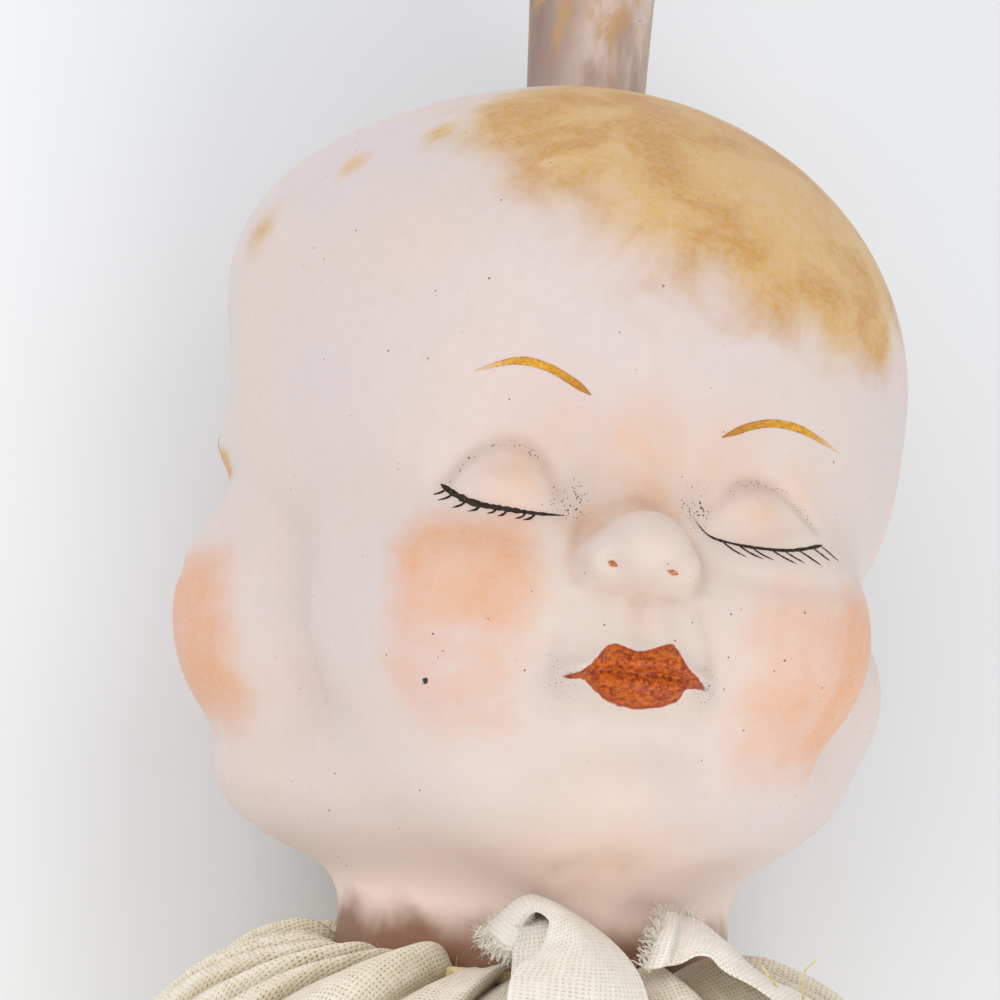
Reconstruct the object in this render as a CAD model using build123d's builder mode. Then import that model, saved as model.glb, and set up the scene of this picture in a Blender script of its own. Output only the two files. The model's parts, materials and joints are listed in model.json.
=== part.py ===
# Three-faced doll's-head rattle (a marotte), lying on its back on a table.
#
# The rattle is a bisque head with three faces on a steel spindle, a turned wooden rattle box
# under a muslin robe, and a wooden stick handle. It lies along +Y with one face up (+Z).
# "Station" is the distance along the axis from the gathered neck line of the robe, positive
# towards the knob on the crown. Units are millimetres.

from build123d import *
from math import cos, radians, sin, sqrt
import os

# Driving dimensions -------------------------------------------------------------------------
AXIS_HEIGHT = 37.5  # the spindle's axis over the table
NECK_Y = 29.0  # where station 0 lies along +Y
FACES = 3

CROWN = 90.5  # station of the crown
CRANIUM_STATION = 58.0  # station of the widest ring of the skull
CRANIUM_RADIUS = 37.5
NECK_RADIUS = 20.6
NECK_FOOT = -6.5  # station of the neck's lower rim
SHELL_WALL = 3.0

SPINDLE_RADIUS = 3.0
RUNNING_GAP = 0.06  # radial gap where the spindle turns in the lid

DRUM_RADIUS = 31.0
DRUM_WALL = 4.0
LID_TOP = -8.0
LID_BOTTOM = -14.0
DRUM_FOOT = -50.0
DRUM_FLOOR = 5.0

PELLET_RADIUS = 3.0
PELLET_GAP = 0.3  # how far a pellet at rest stays off the box
PELLET_SPREAD = 9.0
PELLET_STATIONS = (-31.0, -38.5)

HANDLE_END = -170.0
GRIP_RADIUS = 7.0
TENON_RADIUS = 5.0

WADDING = 3.6  # thickness of the cotton wadding round the box
ROBE_CLOTH = 2.0  # thickness that the folded muslin takes
ROBE_HEM = -76.0
ROBE_SPREAD = 51.0  # how far the robe spreads on the table, each way

# Working planes -----------------------------------------------------------------------------
AXIS_POINT = (0, NECK_Y, AXIS_HEIGHT)
SPIN = Axis(AXIS_POINT, (0, 1, 0))
UP = -90.0  # the angle of +Z in a station plane


def profile_plane(turn=0.0):
    """A plane through the axis where a point is (station, radius), turned from +Z towards +X."""
    normal = (cos(radians(turn)), 0, -sin(radians(turn)))
    return Plane(origin=AXIS_POINT, x_dir=(0, 1, 0), z_dir=normal)


PROFILE = profile_plane()


def station(along):
    """The plane across the axis at a station, with +Z of the plane towards the crown."""
    origin = (0, NECK_Y + along, AXIS_HEIGHT)
    return Plane(origin=origin, x_dir=(1, 0, 0), z_dir=(0, 1, 0))


def save(part, name):
    part.label = name
    export_step(part, f"parts/{name}.step")


def ring_between(low, high, inner, outer):
    """A plain ring or disc about the spindle's axis, from one station to another."""
    with BuildPart() as ring:
        with BuildSketch(station(low)):
            Circle(outer)
            if inner:
                Circle(inner, mode=Mode.SUBTRACT)
        extrude(amount=high - low)
    return ring.part


# The head -----------------------------------------------------------------------------------
# Each bump of a face: (angle from the face's middle, station, radius of its centre, bump radius)
FACE_BUMPS = (
    (-28.0, 30.0, 24.2, 16.6),  # cheeks
    (28.0, 30.0, 24.2, 16.6),
    (0.0, 56.0, 9.0, 29.6),  # forehead
    (0.0, 26.0, 25.5, 15.6),  # muzzle with the lips
    (0.0, 21.5, 27.0, 9.4),  # chin
    (0.0, 36.5, 38.0, 5.0),  # nose
)


def head_form(inset):
    """The three-faced head as a solid, inset from its outer skin."""
    rise = CROWN - CRANIUM_STATION - inset
    girth = CRANIUM_RADIUS - inset
    with BuildPart() as form:
        with BuildSketch(PROFILE):
            with BuildLine():
                crown = (CROWN - inset, 0)
                widest = (CRANIUM_STATION, girth)
                neck_top = (4.0, NECK_RADIUS - inset)
                neck_foot = (NECK_FOOT - inset, NECK_RADIUS - inset)
                EllipticalCenterArc((CRANIUM_STATION, 0), rise, girth, start_angle=0, arc_size=90)
                Spline(
                    widest,
                    (44.0, 34.6 - inset),
                    (30.0, 35.8 - inset),
                    (14.0 + inset, 31.0 - inset),
                    neck_top,
                    tangents=((-1, 0), (-1, 0)),
                )
                Polyline(neck_top, neck_foot, (neck_foot[0], 0), crown)
            make_face()
        revolve(axis=SPIN)
        for angle, along, reach, size in FACE_BUMPS:
            if size > 2 * inset:
                with BuildPart(station(along), mode=Mode.PRIVATE) as bumps:
                    with PolarLocations(reach, FACES, start_angle=UP + angle):
                        Sphere(size - inset)
                add(bumps.part)
    return form.part


FLAT_CROWN = CROWN - 0.5  # the pad that the knob stands on

with BuildPart() as head_shell:
    add(head_form(0))
    add(head_form(SHELL_WALL), mode=Mode.SUBTRACT)
    add(ring_between(NECK_FOOT - SHELL_WALL, NECK_FOOT, 0, NECK_RADIUS + 1), mode=Mode.SUBTRACT)
    add(ring_between(FLAT_CROWN, CROWN + 1, 0, CRANIUM_RADIUS), mode=Mode.SUBTRACT)
    add(ring_between(CROWN - 2 * SHELL_WALL, CROWN, 0, SPINDLE_RADIUS), mode=Mode.SUBTRACT)
save(head_shell.part, "head_shell")

KNOB_TOP = 112.0
KNOB_STEM = 6.65
KNOB_RIM = 9.6
SOCKET_TOP = FLAT_CROWN + 9.0

with BuildPart() as turning_knob:
    with BuildSketch(PROFILE):
        with BuildLine():
            stem_top = (104.0, KNOB_STEM + 0.5)
            rim_low = (108.0, KNOB_RIM)
            rim_high = (KNOB_TOP - 1.5, KNOB_RIM)
            Polyline(
                (SOCKET_TOP, 0),
                (SOCKET_TOP, SPINDLE_RADIUS),
                (FLAT_CROWN, SPINDLE_RADIUS),
                (FLAT_CROWN, KNOB_STEM),
                stem_top,
            )
            Spline(stem_top, rim_low, tangents=((1, 0.05), (1, 0.4)))
            ThreePointArc(rim_low, (109.3, KNOB_RIM + 0.5), rim_high)
            Spline(rim_high, (KNOB_TOP, 0), tangents=((1, -0.6), (0, -1)))
            Line((KNOB_TOP, 0), (SOCKET_TOP, 0))
        make_face()
    revolve(axis=SPIN)
save(turning_knob.part, "turning_knob")

SPINDLE_FOOT = -24.0
PIN_STATION = -20.1
PIN_RADIUS = 0.8
PIN_LENGTH = 12.0
WASHER = 1.0
LID_PLUG_BOTTOM = -18.0

with BuildPart() as spindle:
    add(ring_between(SPINDLE_FOOT, SOCKET_TOP, 0, SPINDLE_RADIUS))
    chamfer(spindle.faces().sort_by(Axis.Y)[0].edges(), 0.5)
    with Locations(station(PIN_STATION).location):
        Cylinder(PIN_RADIUS, PIN_LENGTH, rotation=(0, 90, 0), mode=Mode.SUBTRACT)
save(spindle.part, "spindle")

with BuildPart() as retaining_pin:
    with Locations(station(PIN_STATION).location):
        Cylinder(PIN_RADIUS, PIN_LENGTH, rotation=(0, 90, 0))
save(retaining_pin.part, "retaining_pin")

washer_top = LID_PLUG_BOTTOM - 0.2
save(
    ring_between(washer_top - WASHER, washer_top, SPINDLE_RADIUS, 7.0),
    "spindle_washer",
)
save(
    ring_between(NECK_FOOT, 4.0, SPINDLE_RADIUS, NECK_RADIUS - SHELL_WALL),
    "neck_plug",
)

# The rattle box and its handle --------------------------------------------------------------
save(
    ring_between(LID_TOP, NECK_FOOT - 0.2, SPINDLE_RADIUS + 1.0, NECK_RADIUS - 1.0),
    "bearing_felt",
)

DRUM_BORE = DRUM_RADIUS - DRUM_WALL

with BuildPart() as drum_lid:
    add(ring_between(LID_BOTTOM, LID_TOP, 0, DRUM_RADIUS))
    chamfer(drum_lid.faces().sort_by(Axis.Y)[-1].edges(), 1.0)
    add(ring_between(LID_PLUG_BOTTOM, LID_BOTTOM, 0, DRUM_BORE))
    bore = SPINDLE_RADIUS + RUNNING_GAP
    add(ring_between(LID_PLUG_BOTTOM, LID_TOP, 0, bore), mode=Mode.SUBTRACT)
save(drum_lid.part, "drum_lid")

with BuildPart() as drum_cup:
    add(ring_between(DRUM_FOOT, LID_BOTTOM, 0, DRUM_RADIUS))
    chamfer(drum_cup.faces().sort_by(Axis.Y)[0].edges(), 1.5)
    add(ring_between(DRUM_FOOT + DRUM_FLOOR, LID_BOTTOM, 0, DRUM_BORE), mode=Mode.SUBTRACT)
    add(ring_between(DRUM_FOOT, LID_BOTTOM, 0, TENON_RADIUS), mode=Mode.SUBTRACT)
save(drum_cup.part, "drum_cup")

TACK_COUNT = 4
TACK_SHANK = 0.6
TACK_HEAD = 1.6
TACK_LENGTH = 10.0
TACK_CIRCLE = DRUM_RADIUS - DRUM_WALL / 2

with BuildPart() as lid_tacks:
    with BuildSketch(station(LID_TOP - TACK_LENGTH)):
        with PolarLocations(TACK_CIRCLE, TACK_COUNT, start_angle=45):
            Circle(TACK_SHANK)
    extrude(amount=TACK_LENGTH)
    with BuildSketch(station(LID_TOP)):
        with PolarLocations(TACK_CIRCLE, TACK_COUNT, start_angle=45):
            Circle(TACK_HEAD)
    extrude(amount=0.6)
save(lid_tacks.part, "lid_tacks")

pellet_track = DRUM_BORE - PELLET_RADIUS - PELLET_GAP  # radius of a resting pellet's centre
pellet_number = 0
for along in PELLET_STATIONS:
    for across in (-PELLET_SPREAD, 0.0, PELLET_SPREAD):
        pellet_number += 1
        drop = sqrt(pellet_track**2 - across**2)
        with BuildPart() as pellet:
            with Locations((across, NECK_Y + along, AXIS_HEIGHT - drop)):
                Sphere(PELLET_RADIUS)
        save(pellet.part, f"pellet_{pellet_number}")

BEAD_RADIUS = 10.0

with BuildPart() as handle:
    with BuildSketch(PROFILE):
        with BuildLine():
            foot = DRUM_FOOT
            bead_top = (foot, BEAD_RADIUS - 1.0)
            bead_end = (foot - 8.0, GRIP_RADIUS)
            waist_end = (foot - 20.0, GRIP_RADIUS - 1.4)
            swell = (foot - 44.0, GRIP_RADIUS + 1.6)
            grip_top = (foot - 74.0, GRIP_RADIUS)
            tip_shoulder = (HANDLE_END + 3.0, GRIP_RADIUS)
            Polyline(
                (foot + DRUM_FLOOR, 0),
                (foot + DRUM_FLOOR, TENON_RADIUS),
                (foot, TENON_RADIUS),
                bead_top,
            )
            ThreePointArc(bead_top, (foot - 4.0, BEAD_RADIUS + 0.6), bead_end)
            Spline(bead_end, waist_end, swell, grip_top, tangents=((-1, -0.1), (-1, 0)))
            Line(grip_top, tip_shoulder)
            RadiusArc(tip_shoulder, (HANDLE_END, GRIP_RADIUS - 3.0), -3.0)
            Polyline((HANDLE_END, GRIP_RADIUS - 3.0), (HANDLE_END, 0), (foot + DRUM_FLOOR, 0))
        make_face()
    revolve(axis=SPIN)
save(handle.part, "handle")

# Wadding, thread and robe -------------------------------------------------------------------
WADDING_RADIUS = DRUM_RADIUS + WADDING
save(ring_between(DRUM_FOOT, LID_TOP, DRUM_RADIUS, WADDING_RADIUS), "drum_wadding")

COLLAR_INNER = NECK_RADIUS + 0.4  # clear of the neck, which turns inside it
COLLAR_WALL = 1.2
THREAD_RADIUS = 0.6
ROLL_TOP = 1.4  # station of the turned-over edge of the gathers
GATHER_STATION = -3.2  # where the thread draws the robe in, inside the rolled edge
SHOULDER_STATION = -10.0
ROBE_RADIUS = WADDING_RADIUS + 0.6 + ROBE_CLOTH

with BuildPart() as gathering_thread:
    ring_radius = COLLAR_INNER + COLLAR_WALL + THREAD_RADIUS + 0.05
    with Locations(station(GATHER_STATION).location):
        Torus(ring_radius, THREAD_RADIUS)
save(gathering_thread.part, "gathering_thread")


def robe_section(inset):
    """The robe's outline across the axis: over the wadding and down to the table each side."""
    radius = ROBE_RADIUS - inset
    spread = ROBE_SPREAD - 1.6 * inset
    floor = AXIS_HEIGHT - inset  # down, in a station plane
    lip = floor - 1.5
    flank = (radius + 1.8, 0.45 * floor)
    with BuildSketch(Plane.XY) as outline:
        with BuildLine():
            top = (0, -radius)
            side = (radius * cos(radians(12)), -radius * sin(radians(12)))
            RadiusArc(top, side, -radius)
            Spline(side, flank, (spread, lip), tangents=((0.2, 1), (0.75, 0.5)))
            Polyline((spread, lip), (spread, floor), (0, floor), top)
        make_face()
        mirror(about=Plane.YZ)
    return outline.sketch


with BuildPart() as muslin_robe:
    with BuildSketch(station(ROBE_HEM)):
        add(robe_section(0))
    extrude(amount=SHOULDER_STATION - ROBE_HEM)
    with BuildSketch(station(ROBE_HEM)):
        add(robe_section(ROBE_CLOTH))
    extrude(amount=SHOULDER_STATION - ROBE_CLOTH - ROBE_HEM, mode=Mode.SUBTRACT)
    with BuildSketch(PROFILE):
        with BuildLine():
            shoulder = (SHOULDER_STATION, ROBE_RADIUS)
            roll_start = (GATHER_STATION + 0.6, COLLAR_INNER + 5.4)
            roll_end = (ROLL_TOP - 2.2, COLLAR_INNER)
            pocket_top = GATHER_STATION + 1.0
            Spline(shoulder, roll_start, tangents=((1, -0.35), (0.7, -0.7)))
            ThreePointArc(roll_start, (ROLL_TOP, COLLAR_INNER + 1.8), roll_end)
            Polyline(
                roll_end,
                (LID_TOP + 0.2, COLLAR_INNER),
                (LID_TOP + 0.2, COLLAR_INNER + COLLAR_WALL),
                (pocket_top, COLLAR_INNER + COLLAR_WALL),
                (pocket_top, COLLAR_INNER + 3.4),
                (SHOULDER_STATION + 3.0, WADDING_RADIUS - 4.0),
                (LID_TOP + 0.3, WADDING_RADIUS - 4.0),
                (LID_TOP + 0.3, WADDING_RADIUS + 0.5),
                (SHOULDER_STATION, WADDING_RADIUS + 0.5),
                shoulder,
            )
        make_face()
    revolve(axis=SPIN)
    collar_space = ring_between(SHOULDER_STATION - 3, LID_TOP + 0.2, 0, WADDING_RADIUS + 0.5)
    add(collar_space, mode=Mode.SUBTRACT)
save(muslin_robe.part, "muslin_robe")


# The two frayed muslin ends at the throat ---------------------------------------------------
FLAP_CLOTH = 1.2
CURL_MIDDLE = 32.2  # radius of the middle of the curl at a strip's top
CURL_OUTER = 4.4
FLAP_LIFT = 1.4  # how far a strip lies off the robe


def throat_flap(turn, width, reach):
    """A strip that curls up out of the rolled gathers and lies down the front of the robe."""
    curl_inner = CURL_OUTER - FLAP_CLOTH
    lying = ROBE_RADIUS + FLAP_LIFT
    with BuildPart() as flap:
        with BuildSketch(profile_plane(turn)):
            with BuildLine():
                for curl, height in ((curl_inner, lying), (CURL_OUTER, lying + FLAP_CLOTH)):
                    start = (1.6, CURL_MIDDLE - curl)
                    fold = (1.6, CURL_MIDDLE + curl)
                    ThreePointArc(start, (1.6 + curl, CURL_MIDDLE), fold)
                    Spline(fold, (-12.0, height), (-reach, height), tangents=((-1, 0), (-1, 0)))
                Line((1.6, CURL_MIDDLE - curl_inner), (1.6, CURL_MIDDLE - CURL_OUTER))
                Line((-reach, lying), (-reach, lying + FLAP_CLOTH))
            make_face()
        extrude(amount=width / 2, both=True)
    return flap.part


save(throat_flap(turn=-5.0, width=15.0, reach=34.0), "throat_flap_front")
save(throat_flap(turn=26.0, width=11.0, reach=26.0), "throat_flap_side")
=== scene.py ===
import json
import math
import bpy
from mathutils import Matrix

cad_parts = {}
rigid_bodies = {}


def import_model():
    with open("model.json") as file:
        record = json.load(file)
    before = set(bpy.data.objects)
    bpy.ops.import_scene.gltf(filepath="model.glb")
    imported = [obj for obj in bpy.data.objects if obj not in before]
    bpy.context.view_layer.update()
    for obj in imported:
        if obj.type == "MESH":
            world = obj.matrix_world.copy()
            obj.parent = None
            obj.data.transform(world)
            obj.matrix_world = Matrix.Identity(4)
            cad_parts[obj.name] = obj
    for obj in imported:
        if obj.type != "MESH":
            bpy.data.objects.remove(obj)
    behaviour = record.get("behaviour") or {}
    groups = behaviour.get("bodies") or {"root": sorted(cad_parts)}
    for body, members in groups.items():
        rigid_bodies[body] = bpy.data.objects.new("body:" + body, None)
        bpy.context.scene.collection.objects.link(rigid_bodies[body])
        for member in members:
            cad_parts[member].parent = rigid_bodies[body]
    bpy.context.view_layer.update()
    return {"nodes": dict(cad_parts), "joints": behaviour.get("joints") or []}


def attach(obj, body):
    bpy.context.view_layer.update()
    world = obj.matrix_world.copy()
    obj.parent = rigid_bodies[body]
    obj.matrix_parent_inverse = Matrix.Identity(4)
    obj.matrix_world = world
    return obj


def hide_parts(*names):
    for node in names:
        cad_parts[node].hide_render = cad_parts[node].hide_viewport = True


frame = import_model()

# A bisque doll's head with three faces, on the spindle of a stick rattle, under a muslin robe.
# Lengths are millimetres until they go into a mesh. A place on the toy is (x, station, out):
# station runs along the spindle's axis from the gathered neck line of the robe towards the
# crown, and x and out are across it, with the front face looking along out. "Angle" is in
# degrees about the axis, from out towards x.

from types import SimpleNamespace

import bpy
import numpy as np
from mathutils import Matrix, Vector

MM = 0.001
HEAD_JOINT = next(j for j in frame["joints"] if j["name"] == "head_turn")
NECK_LINE = np.array(HEAD_JOINT["pos_m"]) / MM  # station 0 on the axis, in the row frame
BODY = HEAD_JOINT["parent"]
HEAD = HEAD_JOINT["child"]


def metres(points):
    """Places on the toy, in millimetres, as points of the row frame in metres."""
    return (np.asarray(points, float) + NECK_LINE) * MM


def polar(angle, station, radius):
    """The place at an angle about the axis, a station and a radius."""
    turn = np.radians(angle)
    return np.stack(np.broadcast_arrays(radius * np.sin(turn), station, radius * np.cos(turn)), -1)


def make_mesh(name, points, faces, material, smooth=True):
    """A mesh object from points in metres and a list or array of faces."""
    mesh = bpy.data.meshes.new(name)
    mesh.from_pydata(np.asarray(points).tolist(), [], [list(face) for face in faces])
    mesh.polygons.foreach_set("use_smooth", [smooth] * len(mesh.polygons))
    mesh.materials.append(material)
    mesh.update()
    piece = bpy.data.objects.new(name, mesh)
    bpy.context.scene.collection.objects.link(piece)
    return piece


def grid_faces(rows, columns, closed=False):
    """Quads over a grid of points stored row by row; closed joins its last column to its first."""
    across = columns if closed else columns - 1
    row, column = np.meshgrid(np.arange(rows - 1), np.arange(across), indexing="ij")
    here = row * columns + column
    beside = row * columns + (column + 1) % columns
    return np.stack([here, beside, beside + columns, here + columns], -1).reshape(-1, 4)


def set_attribute(piece, name, values):
    """Stores one number for each point of a piece, for its material."""
    attribute = piece.data.attributes.new(name, "FLOAT", "POINT")
    attribute.data.foreach_set("value", np.asarray(values, np.float32).ravel())


# Material nodes -----------------------------------------------------------------------------
class Material:
    """A node material with a Principled surface, and short ways to add nodes to it."""

    def __init__(self, name, **settings):
        self.material = bpy.data.materials.new(name)
        self.material.use_nodes = True
        self.tree = self.material.node_tree
        self.surface = self.tree.nodes["Principled BSDF"]
        for socket, value in settings.items():
            self.surface.inputs[socket.replace("_", " ")].default_value = value

    def add(self, kind, output=0, settings=None, **inputs):
        """Adds a node, gives it values or links, and returns one of its outputs."""
        made = self.tree.nodes.new("ShaderNode" + kind)
        for name, value in (settings or {}).items():
            setattr(made, name, value)
        for name, value in inputs.items():
            spot = int(name[1:]) if name[0] == "i" and name[1:].isdigit() else name.replace("_", " ")
            self.feed(made.inputs[spot], value)
        return made.outputs[output]

    def feed(self, socket, value):
        if isinstance(value, bpy.types.NodeSocket):
            self.tree.links.new(value, socket)
        else:
            socket.default_value = value

    def math(self, operation, *values, clamp=False):
        inputs = {f"i{index}": value for index, value in enumerate(values)}
        return self.add("Math", settings={"operation": operation, "use_clamp": clamp}, **inputs)

    def times(self, first, second):
        return self.math("MULTIPLY", first, second)

    def attribute(self, name):
        return self.add("Attribute", "Fac", settings={"attribute_name": name})

    def place(self):
        """The point's own place in millimetres, which moves with the piece."""
        spot = self.add("TexCoord", "Object")
        return self.add("VectorMath", settings={"operation": "SCALE"}, i0=spot, Scale=1 / MM)

    def stretched(self, place, along):
        """A place drawn out along the toy's axis, for marks that run that way."""
        return self.add("VectorMath", settings={"operation": "MULTIPLY"}, i0=place, i1=(1.0, along, 1.0))

    def sway(self, place, amount, scale, detail=3.0, roughness=0.5, distortion=0.0):
        """Noise about zero, for making an edge uneven."""
        noise = self.noise(place, scale, detail, roughness, distortion)
        return self.times(self.math("SUBTRACT", noise, 0.5), amount)

    def noise(self, place, scale, detail=3.0, roughness=0.5, distortion=0.0):
        return self.add(
            "TexNoise",
            "Fac",
            Vector=place,
            Scale=scale,
            Detail=detail,
            Roughness=roughness,
            Distortion=distortion,
        )

    def ramp(self, value, low, high, start=0.0, end=1.0):
        """start below low, end above high, and a smooth change between."""
        settings = {"interpolation_type": "SMOOTHSTEP"}
        return self.add(
            "MapRange", settings=settings, Value=value, i1=low, i2=high, i3=start, i4=end
        )

    def mix(self, share, first, second):
        """Colours mixed by a share from 0 to 1, each a socket or a screen colour."""
        first, second = (colour(c) if isinstance(c, tuple) else c for c in (first, second))
        return self.add("Mix", 2, settings={"data_type": "RGBA"}, i0=share, i6=first, i7=second)

    def bump(self, height, depth, strength=1.0, under=None):
        """A bump of a depth in millimetres."""
        inputs = {"Height": height, "Distance": depth * MM, "Strength": strength}
        if under is not None:
            inputs["Normal"] = under
        return self.add("Bump", **inputs)

    def finish(self, **inputs):
        for name, value in inputs.items():
            self.feed(self.surface.inputs[name.replace("_", " ")], value)
        return self.material


def colour(parts):
    """A screen colour, its parts from 0 to 255, as a linear one."""
    return tuple((part / 255) ** 2.2 for part in parts) + (1.0,)


# The head's shape ---------------------------------------------------------------------------
SKULL_STATION = 58.0
NECK_RADIUS = 20.6
NECK_FOOT = -6.5
FACES = ("sleeping", "crying", "smiling")
FACE_ANGLES = {"sleeping": 0.0, "crying": 120.0, "smiling": 240.0}

# A swelling is an ellipsoid: the angle, station and radius of its middle, its half sizes
# across, along the axis and outwards, and how softly it runs into the rest.
SKULL = ((0, 58.0, 0, 37.0, 32.5, 37.0, 1.0), (0, 48.0, 0, 35.5, 26.0, 35.5, 3.0))
JAW = (0, 16.5, 10.0, 25.0, 11.5, 24.0, 5.0)
MIDDLE = (0, 29.0, 22.0, 14.0, 13.0, 16.5, 5.0)
FOREHEAD = (0, 60.0, 10.5, 25.0, 18.0, 27.4, 5.0)


def pair(angle, *form):
    """The same swelling at both sides of a face."""
    return [(-angle, *form), (angle, *form)]


MASSES = {
    "sleeping": [*pair(28, 30.5, 23.6, 16.4, 15.0, 16.4, 5.0), JAW, MIDDLE, FOREHEAD],
    "crying": [*pair(28, 26.5, 22.0, 15.4, 13.5, 15.0, 5.0), JAW, MIDDLE, FOREHEAD],
    "smiling": [
        (-28, 30.6, 24.2, 16.4, 15.0, 16.4, 4.0),
        (28, 31.2, 24.2, 16.4, 16.6, 16.4, 3.0),
        (27, 48.5, 30.0, 9.0, 5.5, 7.4, 2.0),
        (-27, 48.5, 30.0, 9.0, 5.5, 7.4, 2.0),
        (0, 14.5, 11.0, 26.0, 10.5, 24.6, 5.0),
        MIDDLE,
        (0, 69.0, 13.0, 27.0, 18.6, 26.4, 5.0),
    ],
}
FEATURES = [
    (0, 15.5, 27.0, 8.0, 6.0, 8.8, 3.0),  # chin
    (0, 25.6, 28.0, 8.2, 6.6, 11.9, 3.0),  # muzzle
    (0, 43.0, 33.0, 3.4, 8.0, 3.6, 3.0),  # bridge of the nose
    (1.0, 35.9, 38.4, 4.0, 3.5, 4.7, 1.6),  # ball of the nose
    (-4.0, 34.9, 37.8, 2.3, 2.1, 3.0, 1.2),  # wings of the nose
    (5.6, 34.7, 37.6, 2.3, 2.1, 3.0, 1.2),
]
EYE_ANGLE = 19.0
SOCKET = (42.5, 40.6, 7.5, 4.6, 5.2, 3.5)
LID = (41.0, 31.6, 5.4, 3.4, 4.8, 1.5)
SOCKET_DEPTH = {"sleeping": 0.0, "crying": 0.6, "smiling": 1.6}


def ellipsoid(place, form, face_angle):
    """About how far a place is outside a swelling; negative is inside."""
    x, station, out = place
    angle, middle, reach, across, tall, deep = form[:6]
    turn = math.radians(angle + face_angle)
    side = x * math.cos(turn) - out * math.sin(turn)
    front = x * math.sin(turn) + out * math.cos(turn) - reach
    along = station - middle
    near = np.sqrt((side / across) ** 2 + (along / tall) ** 2 + (front / deep) ** 2)
    steep = np.sqrt((side / across**2) ** 2 + (along / tall**2) ** 2 + (front / deep**2) ** 2)
    return near * (near - 1.0) / np.maximum(steep, 1e-9)


def join(solid, added, softness):
    overlap = np.maximum(softness - np.abs(solid - added), 0.0)
    return np.minimum(solid, added) - overlap**2 / (4.0 * softness)


def carve(solid, tool, softness):
    return -join(-solid, tool, softness)


def head_field(place):
    """About how far a place is outside the head; negative is inside."""
    x, station, out = place
    solid = ellipsoid(place, SKULL[0], 0.0)
    solid = join(solid, ellipsoid(place, SKULL[1], 0.0), SKULL[1][-1])
    neck = np.maximum(np.hypot(x, out) - NECK_RADIUS, station - 20.0)
    solid = join(solid, neck, 5.0)
    for face in FACES:
        for form in MASSES[face]:
            solid = join(solid, ellipsoid(place, form, FACE_ANGLES[face]), form[-1])
    for face in FACES:
        turn = FACE_ANGLES[face]
        for form in FEATURES:
            solid = join(solid, ellipsoid(place, form, turn), form[-1])
        for side in (-EYE_ANGLE, EYE_ANGLE):
            for shape, (level, reach, *sizes, softness) in ((carve, SOCKET), (join, LID)):
                form = (side, level, reach - SOCKET_DEPTH[face], *sizes)
                solid = shape(solid, ellipsoid(place, form, turn), softness)
    return solid


def cast(origin_station, tilt, angle):
    """Places on the head's skin, along rays from the axis at a tilt and an angle in degrees."""
    origin_station, tilt, angle = np.broadcast_arrays(origin_station, tilt, angle)
    rise = np.sin(np.radians(tilt))
    level = np.cos(np.radians(tilt))
    x = level * np.sin(np.radians(angle))
    out = level * np.cos(np.radians(angle))
    inner = np.full(x.shape, 8.0)
    outer = np.full(x.shape, 50.0)
    for _ in range(14):
        middle = 0.5 * (inner + outer)
        place = (middle * x, origin_station + middle * rise, middle * out)
        inside = head_field(place) < 0.0
        inner = np.where(inside, middle, inner)
        outer = np.where(inside, outer, middle)
    reach = 0.5 * (inner + outer)
    return np.stack([reach * x, origin_station + reach * rise, reach * out], -1)


# The faces ----------------------------------------------------------------------------------
# A face's lines are lists of (angle, station) points, with the angle from the face's middle.
DEGREE = 0.7  # about one degree across a face, in millimetres


def fine_line(points, count=41):
    """A smooth line through points, as evenly shared places along it."""
    knots = np.array([points[0], *points, points[-1]], float)
    shares = np.linspace(0.0, len(points) - 1.0, 8 * len(points))
    first = np.minimum(shares.astype(int), len(points) - 2)
    t = (shares - first)[:, None]
    a, b, c, d = (knots[first + step] for step in range(4))
    line = 0.5 * (
        2 * b
        + (c - a) * t
        + (2 * a - 5 * b + 4 * c - d) * t**2
        + (3 * b - a - 3 * c + d) * t**3
    )
    steps = np.hypot(*(np.diff(line, axis=0) * (DEGREE, 1.0)).T)
    along = np.concatenate([[0.0], np.cumsum(steps)])
    even = np.linspace(0.0, along[-1], count)
    return np.stack([np.interp(even, along, line[:, axis]) for axis in (0, 1)], -1)


def between(first, second):
    return 0.5 * (fine_line(first) + fine_line(second))


def mirrored(points):
    return [(-angle, station) for angle, station in points]


def both(points):
    """A line on the face's right half and the same one mirrored."""
    return (points, mirrored(points))


def symmetric(*half):
    """A line across the face from the half that ends in its middle."""
    return [*half, *mirrored(half[-2::-1])]


def line_distance(angle, station, line):
    """Distance in millimetres, on the skin, from places to a line."""
    line = np.asarray(line, float) * (DEGREE, 1.0)
    side = angle * DEGREE
    if len(line) == 1:
        return np.hypot(side - line[0, 0], station - line[0, 1])
    nearest = np.full(np.shape(side), 1e9)
    for (x0, y0), (x1, y1) in zip(line[:-1], line[1:]):
        step = np.array([x1 - x0, y1 - y0])
        share = ((side - x0) * step[0] + (station - y0) * step[1]) / max(step @ step, 1e-9)
        share = np.clip(share, 0.0, 1.0)
        apart = np.hypot(side - x0 - share * step[0], station - y0 - share * step[1])
        nearest = np.minimum(nearest, apart)
    return nearest


def depth_inside(angle, station, upper, lower):
    """Millimetres inside the shape between two lines, negative outside it."""
    outline = np.concatenate([fine_line(upper), fine_line(lower)[::-1]])
    x0, y0 = outline.T
    x1, y1 = np.roll(outline, -1, axis=0).T
    crossings = np.zeros(np.shape(angle), int)
    for ax, ay, bx, by in zip(x0, y0, x1, y1):
        straddles = (ay > station) != (by > station)
        if ay != by:
            crossings += straddles & (angle < ax + (station - ay) * (bx - ax) / (by - ay))
    edge = line_distance(angle, station, np.concatenate([outline, outline[:1]]))
    return np.where(crossings % 2 == 1, edge, -edge)


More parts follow.
